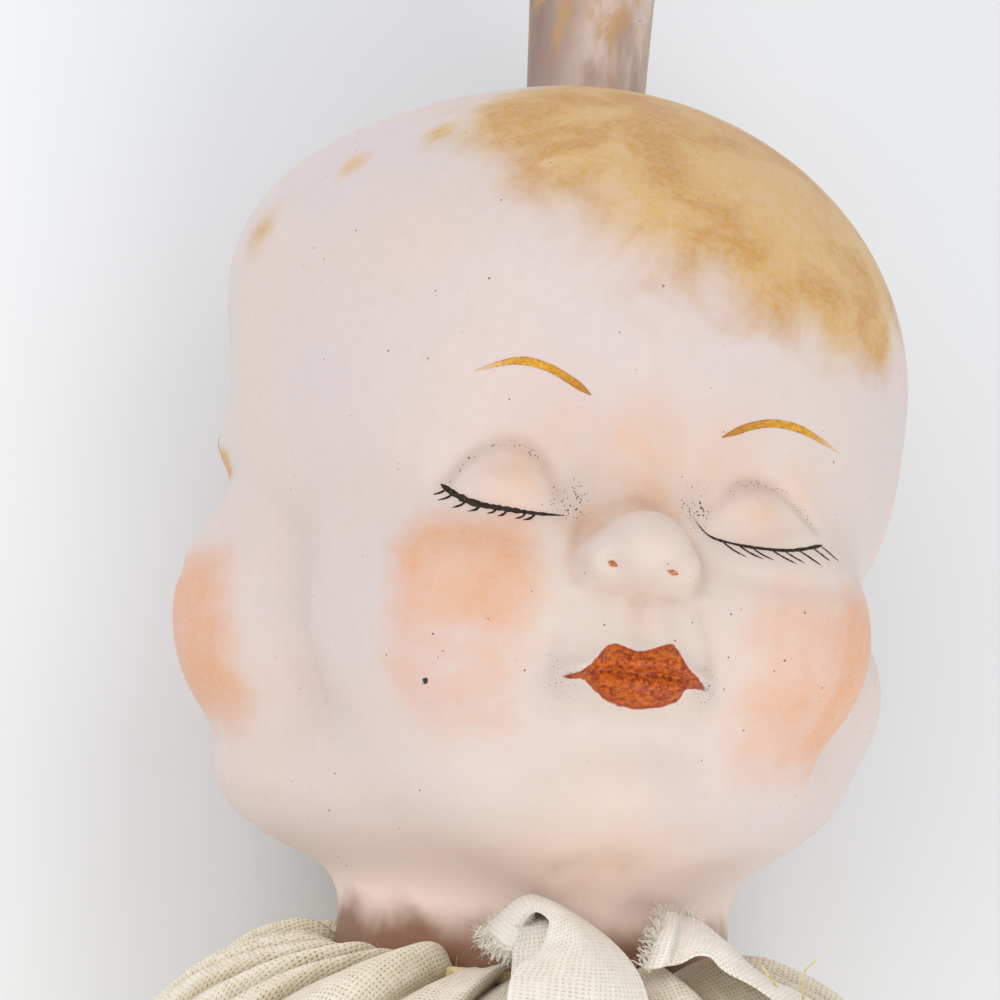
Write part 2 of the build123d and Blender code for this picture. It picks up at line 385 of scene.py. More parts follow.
# Upper edge, parting and lower edge of each mouth.
MOUTHS = {
    "sleeping": (
        [(-8.8, 24.3), (-6.1, 25.0), (-3.8, 27.0), (-2.4, 27.3), (0.5, 26.8)]
        + [(4.4, 27.7), (5.7, 27.3), (7.6, 25.5), (10.8, 24.3)],
        [(-8.8, 24.3), (-4.2, 24.9), (0.7, 24.9), (6.1, 24.8), (10.8, 24.3)],
        [(-8.8, 24.1), (-6.2, 24.0), (-5.0, 23.3), (-2.5, 22.3), (0.6, 21.9)]
        + [(4.4, 22.2), (6.8, 22.9), (7.2, 23.9), (10.8, 24.0)],
    ),
    "crying": (
        symmetric((-9.0, 19.6), (-6.2, 23.2), (-2.6, 25.2), (0.0, 24.8)),
        symmetric((-9.0, 19.6), (-5.0, 22.6), (0.0, 23.4)),
        symmetric((-9.0, 19.6), (-5.6, 18.4), (0.0, 17.6)),
    ),
    "smiling": (
        symmetric((-11.0, 24.4), (-6.0, 24.2), (-2.6, 25.6), (0.0, 25.0)),
        symmetric((-11.0, 24.4), (-6.0, 23.0), (0.0, 22.6)),
        symmetric((-11.0, 24.4), (-6.4, 21.4), (0.0, 20.0)),
    ),
}
# The dark inside of the crying mouth, as its upper and lower edge.
OPEN_MOUTH = (
    symmetric((-6.4, 20.4), (-3.6, 22.0), (0.0, 22.6)),
    symmetric((-6.4, 20.4), (-3.6, 19.6), (0.0, 19.2)),
)
EYE_OPENING = (
    [(-26.0, 41.2), (-23.0, 43.4), (-19.0, 44.2), (-15.0, 43.2), (-11.8, 40.4)],
    [(-26.0, 41.2), (-22.6, 39.4), (-18.6, 38.8), (-14.8, 39.2), (-11.8, 40.4)],
)
EYE_OPENINGS = (EYE_OPENING, [mirrored(line) for line in EYE_OPENING])
IRIS = (-18.6, 41.6)
IRIS_RADIUS = 2.35
PUPIL_RADIUS = 1.05

# Where each face's lashes and brows are painted, from the outer end to the inner one.
LASH_LINES = {
    "sleeping": (
        [(-28.7, 41.3), (-26.1, 40.3), (-22.9, 39.5), (-18.4, 39.1), (-14.1, 38.9), (-9.8, 38.9)],
        [(31.9, 38.9), (25.2, 37.8), (19.6, 37.6), (15.1, 37.8), (12.0, 38.3), (10.0, 39.8)],
    ),
    "crying": both([(-27.0, 39.0), (-23.0, 39.9), (-18.5, 40.2), (-14.0, 39.6), (-10.5, 38.2)]),
    "smiling": both(EYE_OPENING[0]),
}
BROWS = {
    "sleeping": (
        [(-24.0, 51.6), (-18.2, 52.5), (-13.9, 52.1), (-10.3, 51.0), (-7.2, 49.8)],
        [(36.4, 48.3), (32.0, 48.9), (26.8, 49.5), (21.8, 49.5), (17.5, 48.8), (13.0, 47.4)],
    ),
    "crying": both([(-28.0, 47.2), (-22.0, 49.2), (-16.0, 50.6), (-9.5, 51.6)]),
    "smiling": (
        [(-28.0, 49.6), (-23.0, 51.6), (-17.0, 52.2), (-10.5, 50.6)],
        [(33.5, 46.0), (30.0, 48.0), (24.0, 50.6), (17.0, 51.8), (10.5, 50.6)],
    ),
}
LID_RIMS = {
    "sleeping": (
        [(-27.6, 41.6), (-25.6, 43.6), (-22.0, 45.0), (-18.0, 45.3), (-14.0, 44.0), (-10.6, 41.0)],
        [(31.0, 40.6), (27.6, 42.9), (23.0, 44.0), (17.2, 43.3), (12.6, 41.0)],
    ),
    "crying": both([(-25.5, 41.8), (-19.0, 43.4), (-12.0, 41.4)]),
    "smiling": both([(-26.6, 42.8), (-23.0, 45.2), (-19.0, 46.0), (-14.6, 44.8), (-11.2, 42.0)]),
}
NOSTRILS = ([(-4.3, 34.4), (-3.0, 34.0)], [(2.9, 33.9), (4.9, 33.8)])
CHIN_CREASE = [(-6.5, 7.0), (-3.0, 7.9), (2.0, 8.2), (7.7, 7.8)]


def relief_lines(face):
    """The ridges and grooves of a face, as (line, half width, height), grooves below zero."""
    upper, parting, lower = MOUTHS[face]
    lines = [
        (between(upper, parting), 1.25, 0.75),
        (between(parting, lower), 1.35, 0.8),
        (fine_line(parting), 0.42, -0.7),
        ([(upper[0][0] - 0.8, upper[0][1])], 1.1, -0.5),
        ([(upper[-1][0] + 0.8, upper[-1][1])], 1.1, -0.5),
        ([(0.7, 28.4), (0.6, 31.4)], 1.0, -0.42),
        ([(-2.6, 28.0), (-1.8, 31.4)], 0.8, 0.18),
        ([(4.0, 28.2), (3.0, 31.4)], 0.8, 0.18),
        ([(-3.6, lower[2][1] - 2.2), (4.6, lower[2][1] - 2.2)], 1.5, -0.7),
        (fine_line(CHIN_CREASE), 1.0, -0.7),
        (NOSTRILS[0], 0.6, -0.6),
        (NOSTRILS[1], 0.6, -0.6),
        ([(-7.6, 33.4), (-8.2, 35.4), (-7.0, 37.6)], 0.9, -0.35),
        ([(9.2, 33.2), (9.8, 35.2), (9.0, 37.4)], 0.9, -0.35),
        ([(9.6, 31.0), (11.2, 28.2), (11.9, 25.0)], 0.8, -0.4),
        ([(-8.6, 31.0), (-10.2, 28.0), (-10.6, 25.4)], 0.9, -0.25),
        ([(15.0, 34.6), (23.0, 34.1), (34.0, 34.8)], 1.1, -0.3),
        ([(-15.0, 36.0), (-23.0, 36.0), (-34.0, 37.0)], 1.3, -0.2),
    ]
    for side in (0, 1):
        lines.append((fine_line(LID_RIMS[face][side]), 0.75, -0.5))
        lines.append((fine_line(LASH_LINES[face][side]), 0.5, -0.32))
    if face == "crying":
        lines.append((fine_line(parting) - (0.0, 2.0), 1.7, -2.2))
        for turn in (-1, 1):
            lines.append(([(turn * 9.5, 33.0), (turn * 13.0, 28.0), (turn * 14.0, 21.0)], 1.0, -0.7))
            lines.append(([(turn * 2.6, 48.0), (turn * 4.6, 53.0)], 0.9, -0.45))
            lines.append(([(turn * 13.0, 37.2), (turn * 24.0, 37.0)], 1.0, 0.5))
    if face == "smiling":
        for turn in (-1, 1):
            lines.append(([(turn * 9.5, 33.0), (turn * 13.6, 28.5), (turn * 14.2, 24.0)], 1.0, -0.5))
    return lines


def face_angle(angle, face):
    """An angle about the axis, from the middle of a face."""
    return (angle - FACE_ANGLES[face] + 180.0) % 360.0 - 180.0


def relief(angle, station):
    """How far the modelled detail stands out of the head's plain form, in millimetres."""
    height = np.zeros(np.shape(angle))
    for face in FACES:
        local = face_angle(angle, face)
        near = (np.abs(local) < 40.0) & (station > 3.0) & (station < 60.0)
        for line, width, rise in relief_lines(face):
            apart = line_distance(local[near], station[near], line)
            height[near] += rise * np.exp(-((apart / width) ** 2))
        if face == "smiling":
            for opening in EYE_OPENINGS:
                inside = depth_inside(local[near], station[near], *opening)
                height[near] += 0.45 * np.clip(inside / 1.2, 0.0, 1.0) ** 0.5
    return height


def skin(origin_station, tilt, angle):
    """Places on the finished skin, along rays from the axis."""
    places = cast(origin_station, tilt, angle)
    angle = np.broadcast_to(angle, places.shape[:-1])
    rise = relief(angle, places[..., 1])[..., None]
    level = np.cos(np.radians(np.broadcast_to(tilt, angle.shape)))[..., None]
    away = polar(angle, 0.0, 1.0) * level
    away[..., 1] = np.sin(np.radians(np.broadcast_to(tilt, angle.shape)))
    return places + rise * away


def head_rows():
    """(station on the axis, tilt) of each ring of rays, from the crown down to the neck's foot."""
    crown = [(SKULL_STATION, tilt) for tilt in np.arange(88.8, 0.0, -1.2)]
    brow = [(station, 0.0) for station in np.arange(58.0, 50.0, -0.6)]
    face = [(station, 0.0) for station in np.arange(50.0, 20.0, -0.25)]
    jaw = [(20.0 + 0.23 * tilt, tilt) for tilt in np.linspace(0.0, -40.0, 44)]
    foot = NECK_FOOT + NECK_RADIUS * math.tan(math.radians(40.0))
    return np.array(crown + brow + face + jaw + [(foot, -40.0)])


def head_angles():
    """Angles of the columns, closer together across each face."""
    fine = np.arange(-36.0, 36.0, 0.4)
    coarse = np.arange(36.0, 84.0, 1.2)
    return np.concatenate([turn + np.concatenate([fine, coarse]) for turn in (0, 120, 240)])


# How a face is coloured: blush as (angle, station, half width in degrees, half height, strength).
BLUSH = {
    "sleeping": (
        (-23.4, 28.0, 11.0, 10.2, 0.43),
        (-22.8, 32.8, 10.8, 6.2, 0.7),
        (29.0, 25.4, 14.0, 9.8, 0.55),
        (39.0, 26.0, 9.0, 9.6, 0.85),
    ),
    "crying": ((-27.0, 26.0, 12.0, 9.0, 0.6), (27.0, 26.0, 12.0, 9.0, 0.6)),
    "smiling": ((-27.0, 27.0, 12.0, 9.0, 0.6), (36.0, 27.6, 13.0, 9.6, 0.8)),
}
# Dirt rubbed into the bisque: angle, station, radius of the patch and strength.
STAINS = (
    (-16, 78, 11, 0.85),
    (-10, 72, 9, 0.7),
    (4, 69, 11, 0.8),
    (12, 75, 12, 0.95),
    (20, 65, 9, 0.85),
    (34, 64, 8, 1.0),
    (44, 62, 5, 1.0),
    (38, 74, 14, 1.1),
    (50, 70, 10, 0.9),
    (20, 80, 17, 1.1),
    (60, 82, 15, 0.85),
    (110, 80, 12, 0.5),
    (-39, 75.6, 2.8, 0.6),
    (-57, 72.6, 2.8, 0.55),
    (-77, 68, 4, 0.45),
    (-87, 46.2, 1.8, 0.9),
    (150, 78, 9, 0.5),
    (205, 66, 6, 0.4),
)
# Warm brown patches: angle, station, radius and strength. Partly the bisque's warm tint, partly painted
# shade at the root of the nose, between the brows, on the lids and under the chin.
WARM_TINT_AND_SHADE_SPOTS = (
    (0, 33.0, 22.0, 0.22),
    (1, 45.2, 6.0, 0.85),
    (2, 41.0, 3.8, 1.1),
    (-17, 42.6, 3.6, 0.8),
    (20, 41.4, 4.4, 0.7),
    (-10, 47.5, 5.0, 0.45),
    (14, 45.0, 6.0, 0.6),
    (28, 44.0, 4.0, 0.5),
    (-7, 38.4, 2.6, 0.9),
    (1, 29.7, 3.2, 0.35),
    (0, 13.6, 8.0, 0.3),
    (4, 8.0, 9.0, 0.5),
)


# Where a face is creamier than the skull, and the kiln's larger black specks with their radius.
CREAM_SPOTS = ((2, 30.0, 15.0, 0.9), (25, 41.0, 9.0, 0.8), (-6, 18.0, 13.0, 0.7), (30, 50.0, 9.0, 0.5))
SPECKS = (
    (-24.6, 25.9, 0.18),
    (-25.3, 25.2, 0.1),
    (-27.3, 23.2, 0.28),
    (-27.9, 22.6, 0.14),
    (-32.5, 55.4, 0.12),
    (-16.0, 57.0, 0.14),
    (-33.6, 15.4, 0.1),
    (-12.9, 62.8, 0.1),
    (96.0, 30.0, 0.2),
    (151.0, 22.0, 0.25),
    (262.0, 26.0, 0.2),
)


def patches(places, spots, turn=0.0):
    """The strength of soft round patches at places on the skin."""
    strength = np.zeros(places.shape[:-1])
    for angle, station, size, most in spots:
        tall = station > 50.0
        tilt = math.degrees(math.asin(min((station - SKULL_STATION) / 31.0, 1.0))) if tall else 0.0
        middle = cast(SKULL_STATION if tall else station, max(tilt, 0.0), angle + turn)
        apart = np.linalg.norm(places - middle, axis=-1)
        strength = np.maximum(strength, most * np.exp(-((apart / size) ** 2)))
    return strength


def neck_soil_and_shade(angle, station):
    """Brown darkening round the neck just above the cloth, most of it at the left: partly soil that the
    gathered cloth has left, partly painted shade from the gathers.
    """
    low = np.clip(1.0 - (station + 1.0) / 4.6, -0.5, 1.0)
    return low * (0.88 - 0.12 * np.sin(np.radians(angle)))


def speck_edges(places, angle):
    """How far each place is outside the nearest of the large specks, in millimetres."""
    radius = np.hypot(places[..., 0], places[..., 2])
    nearest = np.full(angle.shape, 1.0)
    for middle, level, size in SPECKS:
        aside = (angle - middle + 180.0) % 360.0 - 180.0
        apart = np.hypot(np.radians(aside) * radius, places[..., 1] - level)
        nearest = np.minimum(nearest, apart - size)
    return nearest


def blushed(local, station, face):
    """The strength of a face's blush, in soft-cornered patches."""
    strength = np.zeros(local.shape)
    for middle, level, wide, tall, most in BLUSH[face]:
        apart = np.sqrt(((local - middle) / wide) ** 4 + ((station - level) / tall) ** 4)
        strength = np.maximum(strength, most * np.clip(1.35 - apart, 0.0, 1.0))
    return strength


def dusted(local, station, face):
    """Where paint dust has caught: the corners of the mouth and the eyes, and the lids' rims."""
    upper = MOUTHS[face][0]
    corners = [(upper[0], 0.7), (upper[-1], 0.85), ((-9.0, 40.0), 1.0), ((10.2, 40.8), 1.0)]
    lines = [([spot], strength, 2.3) for spot, strength in corners]
    lines += [(fine_line(rim, 9), 0.7, 0.7) for rim in LID_RIMS[face]]
    dust = np.zeros(local.shape)
    for line, strength, reach in lines:
        apart = line_distance(local, station, line)
        dust = np.maximum(dust, strength * np.exp(-((apart / reach) ** 2)))
    return dust


def paint_values(places):
    """What the head's material needs to know at each point, by name."""
    angle = np.degrees(np.arctan2(places[..., 0], places[..., 2]))
    station = places[..., 1]
    values = {name: np.zeros(angle.shape) for name in ("blush", "grit", "warm_tint_and_shade", "cream")}
    for name in ("lips", "mouth_inside", "eye_white"):
        values[name] = np.full(angle.shape, -5.0)
    values["iris"] = np.full(angle.shape, 9.0)
    values["speck"] = speck_edges(places, angle)
    values["stain"] = patches(places, STAINS)
    # Painted light: the neck is made paler towards its foot, where the jaw would shade it.
    values["neck_painted_light"] = np.clip((12.0 - station) / 9.0, 0.0, 1.0)
    values["neck_soil_and_shade"] = neck_soil_and_shade(angle, station)

    def keep(name, added, where=slice(None), most=np.maximum):
        values[name][where] = most(values[name][where], added)

    for face in FACES:
        local = face_angle(angle, face)
        keep("blush", blushed(local, station, face))
        keep("warm_tint_and_shade", patches(places, WARM_TINT_AND_SHADE_SPOTS, FACE_ANGLES[face]))
        keep("cream", patches(places, CREAM_SPOTS, FACE_ANGLES[face]))
        near = (np.abs(local) < 40.0) & (station > 3.0) & (station < 60.0)
        here = (local[near], station[near])
        keep("lips", depth_inside(*here, MOUTHS[face][0], MOUTHS[face][2]), near)
        keep("grit", dusted(*here, face), near)
        if face == "crying":
            keep("mouth_inside", depth_inside(*here, *OPEN_MOUTH), near)
        if face == "smiling":
            for opening, iris in zip(EYE_OPENINGS, both([IRIS])):
                keep("eye_white", depth_inside(*here, *opening), near)
                keep("iris", line_distance(*here, iris), near, np.minimum)
    return values


def bisque_tone(m, place):
    """The bare porcelain's colour: a cool pale pink with faint clouds in it."""
    clouds = m.ramp(m.noise(place, 0.045, 2.0), 0.35, 0.65)
    tone = m.mix(clouds, BISQUE_COOL, BISQUE_PINK)
    mottle = m.ramp(m.noise(place, 0.9, 4.0, 0.6), 0.35, 0.75, 0.0, 0.22)
    return m.mix(mottle, tone, BISQUE_DEEP)


def grain(m, place):
    """The fine tooth of unglazed porcelain, over the faint unevenness of a hand-cleaned cast."""
    wide = m.bump(m.noise(place, 0.16, 2.0), 0.05, 0.5)
    return m.bump(m.noise(place, 5.0, 3.0, 0.6), 0.012, 0.55, wide)


def pin_specks(m, place, tone):
    """The dark and brown pin specks that the kiln leaves."""
    speck = m.add("TexVoronoi", "Distance", Vector=place, Scale=1.1)
    pick = m.add("TexVoronoi", "Color", Vector=place, Scale=1.1)
    rare = m.math("LESS_THAN", m.add("SeparateColor", "Red", Color=pick), 0.11)
    size = m.times(m.add("SeparateColor", "Green", Color=pick), 0.14)
    dot = m.times(m.math("LESS_THAN", speck, size), rare)
    return m.mix(m.times(dot, 0.8), tone, (92, 60, 44))


def ochre_stain(m, place, tone, amount):
    """Old ochre soiling that lies in clouds, with a drier edge."""
    cloud = m.noise(place, 0.11, 5.0, 0.55, 0.6)
    held = m.math("ADD", amount, m.times(m.math("SUBTRACT", cloud, 0.5), 0.7))
    share = m.ramp(held, 0.1, 0.66)
    fine = m.ramp(m.noise(place, 1.4, 4.0, 0.65), 0.3, 0.7, 0.78, 1.0)
    share = m.times(share, fine)
    ochre = m.mix(m.ramp(cloud, 0.4, 0.65), (208, 168, 104), (192, 140, 66))
    return m.mix(share, tone, ochre)


BISQUE_COOL = (209, 196, 195)
BISQUE_PINK = (215, 197, 189)
BISQUE_DEEP = (200, 182, 174)


def bisque_material():
    m = Material(
        "bisque",
        Roughness=0.46,
        Specular_IOR_Level=0.3,
        Subsurface_Weight=0.16,
        Subsurface_Radius=(1.0, 0.75, 0.6),
        Subsurface_Scale=0.0009,
        Sheen_Weight=0.06,
        Sheen_Roughness=0.5,
    )
    place = m.place()
    tone = bisque_tone(m, place)
    # Painted light: a paler colour on the neck stands in for light under the jaw.
    tone = m.mix(m.attribute("neck_painted_light"), tone, (244, 221, 208))
    # Brown round the neck above the cloth: partly soil, partly painted shade from the gathers.
    uneven = m.sway(place, 0.9, 0.2)
    neck_darkening_share = m.ramp(m.math("ADD", m.attribute("neck_soil_and_shade"), uneven), 0.0, 0.9, 0.0, 0.9)
    tone = m.mix(neck_darkening_share, tone, (122, 76, 38))
    tone = m.mix(m.times(m.attribute("cream"), 0.7), tone, (217, 203, 188))
    blotches = m.ramp(m.noise(place, 0.5, 4.0, 0.6), 0.25, 0.75, 0.55, 1.0)
    # Painted shade, partly warm tint: warm brown at the nose root, brows, lids and under the chin.
    tint_and_shade_share = m.times(m.attribute("warm_tint_and_shade"), blotches)
    tone = m.mix(m.times(tint_and_shade_share, 0.8), tone, (218, 174, 142))
    powder = m.noise(place, 1.6, 5.0, 0.7)
    held = m.math("ADD", m.attribute("blush"), m.sway(place, 0.7, 0.22, 4.0, 0.55, 0.5))
    share = m.ramp(held, 0.02, 1.0, 0.0, 0.95)
    share = m.times(share, m.ramp(powder, 0.3, 0.7, 0.7, 0.94))
    tone = m.mix(share, tone, (217, 152, 106))
    # Painted shade, partly grime: the face's hollows round the nose, eyes and mouth are darkened warm
    # brown.
    grime = m.times(m.ramp(m.attribute("hollow_shade"), 0.04, 0.8), blotches)
    tone = m.mix(m.times(grime, 0.36), tone, (186, 146, 116))
    tone = ochre_stain(m, place, tone, m.attribute("stain"))
    tone = pin_specks(m, place, tone)
    edge = m.math("ADD", m.attribute("speck"), m.times(m.noise(place, 2.4, 3.0), 0.3))
    tone = m.mix(m.ramp(edge, 0.1, 0.18, 0.96, 0.0), tone, (30, 22, 20))
    tone = painted_eye(m, place, tone)
    tone, gloss = painted_lips(m, place, tone)
    tone = gritty(m, place, tone)
    roughness = m.math("SUBTRACT", m.ramp(powder, 0.3, 0.7, 0.43, 0.52), gloss)
    return m.finish(Base_Color=tone, Roughness=roughness, Normal=grain(m, place))


def painted_lips(m, place, tone):
    """Lips in two strokes of orange red, thin in places, darker at the edge and the parting."""
    depth = m.math("ADD", m.attribute("lips"), m.sway(place, 0.3, 1.6))
    share = m.ramp(depth, -0.07, 0.07)
    streaks = m.noise(place, 1.9, 5.0, 0.75, 0.4)
    red = m.mix(m.ramp(streaks, 0.36, 0.66), (124, 38, 0), (206, 102, 12))
    rim = m.ramp(m.attribute("lips"), 0.05, 0.5, 0.45, 0.0)
    red = m.mix(rim, red, (146, 50, 0))
    crumbs = m.ramp(m.noise(place, 3.4, 4.0, 0.8), 0.6, 0.68)
    red = m.mix(m.times(crumbs, 0.6), red, (120, 42, 14))
    inside = m.ramp(m.attribute("mouth_inside"), -0.1, 0.1)
    red = m.mix(inside, red, (96, 30, 20))
    share = m.math("MAXIMUM", share, inside)
    return m.mix(share, tone, red), m.times(share, 0.08)


def painted_eye(m, place, tone):
    """Blue eyes painted on white, for the face that is awake."""
    reach = m.math("ADD", m.attribute("iris"), m.sway(place, 0.2, 1.2, 2.0))
    rays = m.ramp(m.noise(place, 2.4, 3.0, 0.7), 0.35, 0.65)
    blue = m.mix(rays, (74, 112, 148), (128, 162, 190))
    blue = m.mix(m.ramp(reach, IRIS_RADIUS - 0.5, IRIS_RADIUS), blue, (44, 66, 92))
    ball = m.mix(m.ramp(reach, IRIS_RADIUS - 0.06, IRIS_RADIUS + 0.06), blue, (240, 240, 238))
    ball = m.mix(m.ramp(reach, PUPIL_RADIUS - 0.05, PUPIL_RADIUS + 0.05), (18, 16, 18), ball)
    return m.mix(m.ramp(m.attribute("eye_white"), -0.05, 0.08), tone, ball)


def gritty(m, place, tone):
    """Black paint dust caught in the corners of the eyes and the mouth."""
    dust = m.add("TexVoronoi", "Distance", Vector=place, Scale=3.4)
    reach = m.times(m.attribute("grit"), 0.42)
    thin = m.ramp(m.noise(place, 0.9, 3.0, 0.6), 0.34, 0.62)
    dot = m.math("LESS_THAN", dust, m.times(reach, thin))
    tone = m.mix(m.times(m.attribute("grit"), 0.16), tone, (120, 104, 100))
    return m.mix(m.times(dot, 0.88), tone, (52, 44, 42))


def near_features(places):
    """From 1 among the eyes, nose and mouth of any face to 0 away from them."""
    angle = np.degrees(np.arctan2(places[:, 0], places[:, 2]))
    share = np.zeros(len(places))
    for face in FACES:
        aside = (face_angle(angle, face) - 1.0) / 31.0
        share = np.maximum(share, np.exp(-(aside**6)))
    rise = np.clip((places[:, 1] - 20.5) / 4.0, 0.0, 1.0)
    return share * rise * np.clip((56.0 - places[:, 1]) / 6.0, 0.0, 1.0)


def hollows(piece, rounds=70):
    """How far each point lies under its surroundings, in millimetres; less than 0 on a ridge."""
    mesh = piece.data
    count = len(mesh.vertices)
    points, normals = np.empty(count * 3), np.empty(count * 3)
    mesh.vertices.foreach_get("co", points)
    mesh.vertex_normals.foreach_get("vector", normals)
    ends = np.empty(len(mesh.edges) * 2, np.int32)
    mesh.edges.foreach_get("vertices", ends)
    there = ends.reshape(-1, 2)[:, ::-1].ravel()
    beside = np.bincount(ends, minlength=count)
    points = points.reshape(-1, 3) / MM
    level = points
    for _ in range(rounds):
        sums = [np.bincount(ends, level[there, axis], count) for axis in range(3)]
        level = np.stack(sums, -1) / beside[:, None]
    return ((level - points) * normals.reshape(-1, 3)).sum(1)


def build_head():
    rows = head_rows()
    angles = head_angles()
    outside = skin(rows[:, :1], rows[:, 1:], angles[None, :])
    rim = polar(angles, NECK_FOOT, NECK_RADIUS - 3.0)
    lining = polar(angles, 2.0, NECK_RADIUS - 3.0)
    rings = np.concatenate([outside, rim[None], lining[None]])
    pole = np.array([[0.0, outside[0, :, 1].mean() + 0.02, 0.0]])
    count = len(angles)
    places = np.concatenate([pole, rings.reshape(-1, 3)])
    quads = grid_faces(len(rings), count, closed=True)[:, ::-1] + 1
    cap = [[0, 1 + column, 1 + (column + 1) % count] for column in range(count)]
    head = make_mesh("bisque_head", metres(places), quads.tolist() + cap, bisque_material())
    for name, values in paint_values(places).items():
        set_attribute(head, name, values)
    # This measure of how deep each point lies drives the painted shade in the face's hollows.
    set_attribute(head, "hollow_shade", hollows(head) * near_features(places))
    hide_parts("head_shell")
    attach(head, HEAD)
    return head


# Painted strokes ----------------------------------------------------------------------------
PAINT_LIFT = 0.035  # how far a brush stroke stands off the skin


class Strokes:
    """Brush strokes on the skin, gathered into one piece."""

    def __init__(self):
        self.places = []
        self.faces = []
        self.along = []
        self.across = []

    def add(self, face, line, width, start=0.15, end=0.3, count=24, last_width=None, rough=None):
        """A stroke along a line, with how much of its length each end tapers over.

        rough is the source of chance for a ragged edge.
        """
        line = fine_line(line, count)
        steps = np.gradient(line * (DEGREE, 1.0), axis=0)
        steps /= np.linalg.norm(steps, axis=1, keepdims=True)
        beside = np.stack([-steps[:, 1] / DEGREE, steps[:, 0]], -1)
        share = np.linspace(0.0, 1.0, count)
        taper = np.minimum(np.clip(share / start, 0, 1), np.clip((1 - share) / end, 0, 1)) ** 0.7
        widths = np.linspace(width, last_width or width, count)
        if rough is not None:
            widths = widths * rough.uniform(0.76, 1.24, count)
        half = (0.5 * widths * np.maximum(taper, 0.08))[:, None]
        rows = np.stack([line - half * beside, line, line + half * beside], 1)
        places = skin(rows[..., 1], 0.0, rows[..., 0] + FACE_ANGLES[face])
        lift = places * (1.0, 0.0, 1.0)
        places = places + PAINT_LIFT * lift / np.linalg.norm(lift, axis=-1, keepdims=True)
        base = sum(len(made) for made in self.places)
        self.places.append(places.reshape(-1, 3))
        self.faces += (grid_faces(count, 3) + base).tolist()
        self.along.append(np.repeat(share, 3))
        self.across.append(np.tile([-1.0, 0.0, 1.0], count))

    def finish(self, name, material):
        piece = make_mesh(name, metres(np.concatenate(self.places)), self.faces, material)
        set_attribute(piece, "along", np.concatenate(self.along))
        set_attribute(piece, "across", np.concatenate(self.across))
        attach(piece, HEAD)
        return piece


def brow_material():
    m = Material("brow_paint", Roughness=0.42)
    place = m.place()
    streaks = m.ramp(m.noise(place, 2.2, 4.0, 0.7), 0.35, 0.65)
    tone = m.mix(streaks, (186, 122, 12), (214, 160, 40))
    dark_end = m.ramp(m.attribute("along"), 0.55, 1.0, 0.0, 0.75)
    tone = m.mix(dark_end, tone, (158, 96, 26))
    faded = m.ramp(m.attribute("along"), 0.0, 0.35, 0.7, 0.0)
    tone = m.mix(faded, tone, (224, 196, 160))
    edge = m.ramp(m.math("ABSOLUTE", m.attribute("across")), 0.5, 1.0)
    crumbs = m.ramp(m.noise(place, 3.6, 3.0, 0.8), 0.5, 0.6)
    tone = m.mix(m.times(edge, crumbs), tone, (120, 62, 20))
    return m.finish(Base_Color=tone)


def lash_material():
    m = Material("lash_paint", Roughness=0.6, Specular_IOR_Level=0.2)
    thin = m.ramp(m.noise(m.place(), 3.0, 3.0, 0.6), 0.3, 0.7)
    return m.finish(Base_Color=m.mix(thin, (26, 18, 14), (66, 50, 40)))


def nostril_material():
    m = Material("nostril_paint", Roughness=0.45)
    thin = m.ramp(m.noise(m.place(), 2.6, 3.0, 0.7), 0.35, 0.65)
    return m.finish(Base_Color=m.mix(thin, (158, 82, 40), (208, 148, 108)))


def point_along(line, share):
    fine = fine_line(line, 101)
    return fine[int(round(share * 100))]


def paint_lashes(strokes, face, side, chance):
    """The lash line of one eye, thicker outside, and the lashes brushed down and outwards."""
    line = LASH_LINES[face][side]
    outwards = -1.0 if side == 0 else 1.0
    fine = side == 1
    strokes.add(face, line, 0.34 if fine else 0.7, 0.08, 0.15, 44, 0.24, chance)
    down = 1.0 if face == "smiling" else -1.0
    for share in np.linspace(0.04, 0.8, 8):
        root = point_along(line, min(max(share + chance.uniform(-0.03, 0.03), 0.0), 1.0))
        length = chance.uniform(1.7, 2.4) if fine else chance.uniform(0.9, 1.5)
        lean = chance.uniform(0.75, 1.0)
        tip = root + np.array([outwards * lean * length / DEGREE, down * 0.62 * length])
        bend = 0.5 * (root + tip) + np.array([-outwards * 0.25, down * 0.12])
        strokes.add(face, [tuple(tip), tuple(bend), tuple(root)], 0.24, 0.5, 0.1, 10, rough=chance)


def paint_nostrils(strokes, face):
    left, right = NOSTRILS
    strokes.add(face, left, 0.5, 0.4, 0.4, 8)
    strokes.add(face, right, 0.42, 0.4, 0.4, 8)


def paint_strokes():
    chance = np.random.default_rng(5)
    brows = Strokes()
    lashes = Strokes()
    nostrils = Strokes()
    for face in FACES:
        for side in (0, 1):
            brows.add(face, BROWS[face][side], 0.72, 0.4, 0.12, 40)
            paint_lashes(lashes, face, side, chance)
        paint_nostrils(nostrils, face)
    brows.finish("painted_brows", brow_material())
    lashes.finish("painted_lashes", lash_material())
    nostrils.finish("painted_nostrils", nostril_material())


head = build_head()
paint_strokes()


# Finishes of the pieces that keep their own shape ------------------------------------------------
def dress(material, *nodes):
    """Gives CAD pieces a material."""
    for name in nodes:
        node = frame["nodes"][name]
        node.data.materials.clear()
        node.data.materials.append(material)


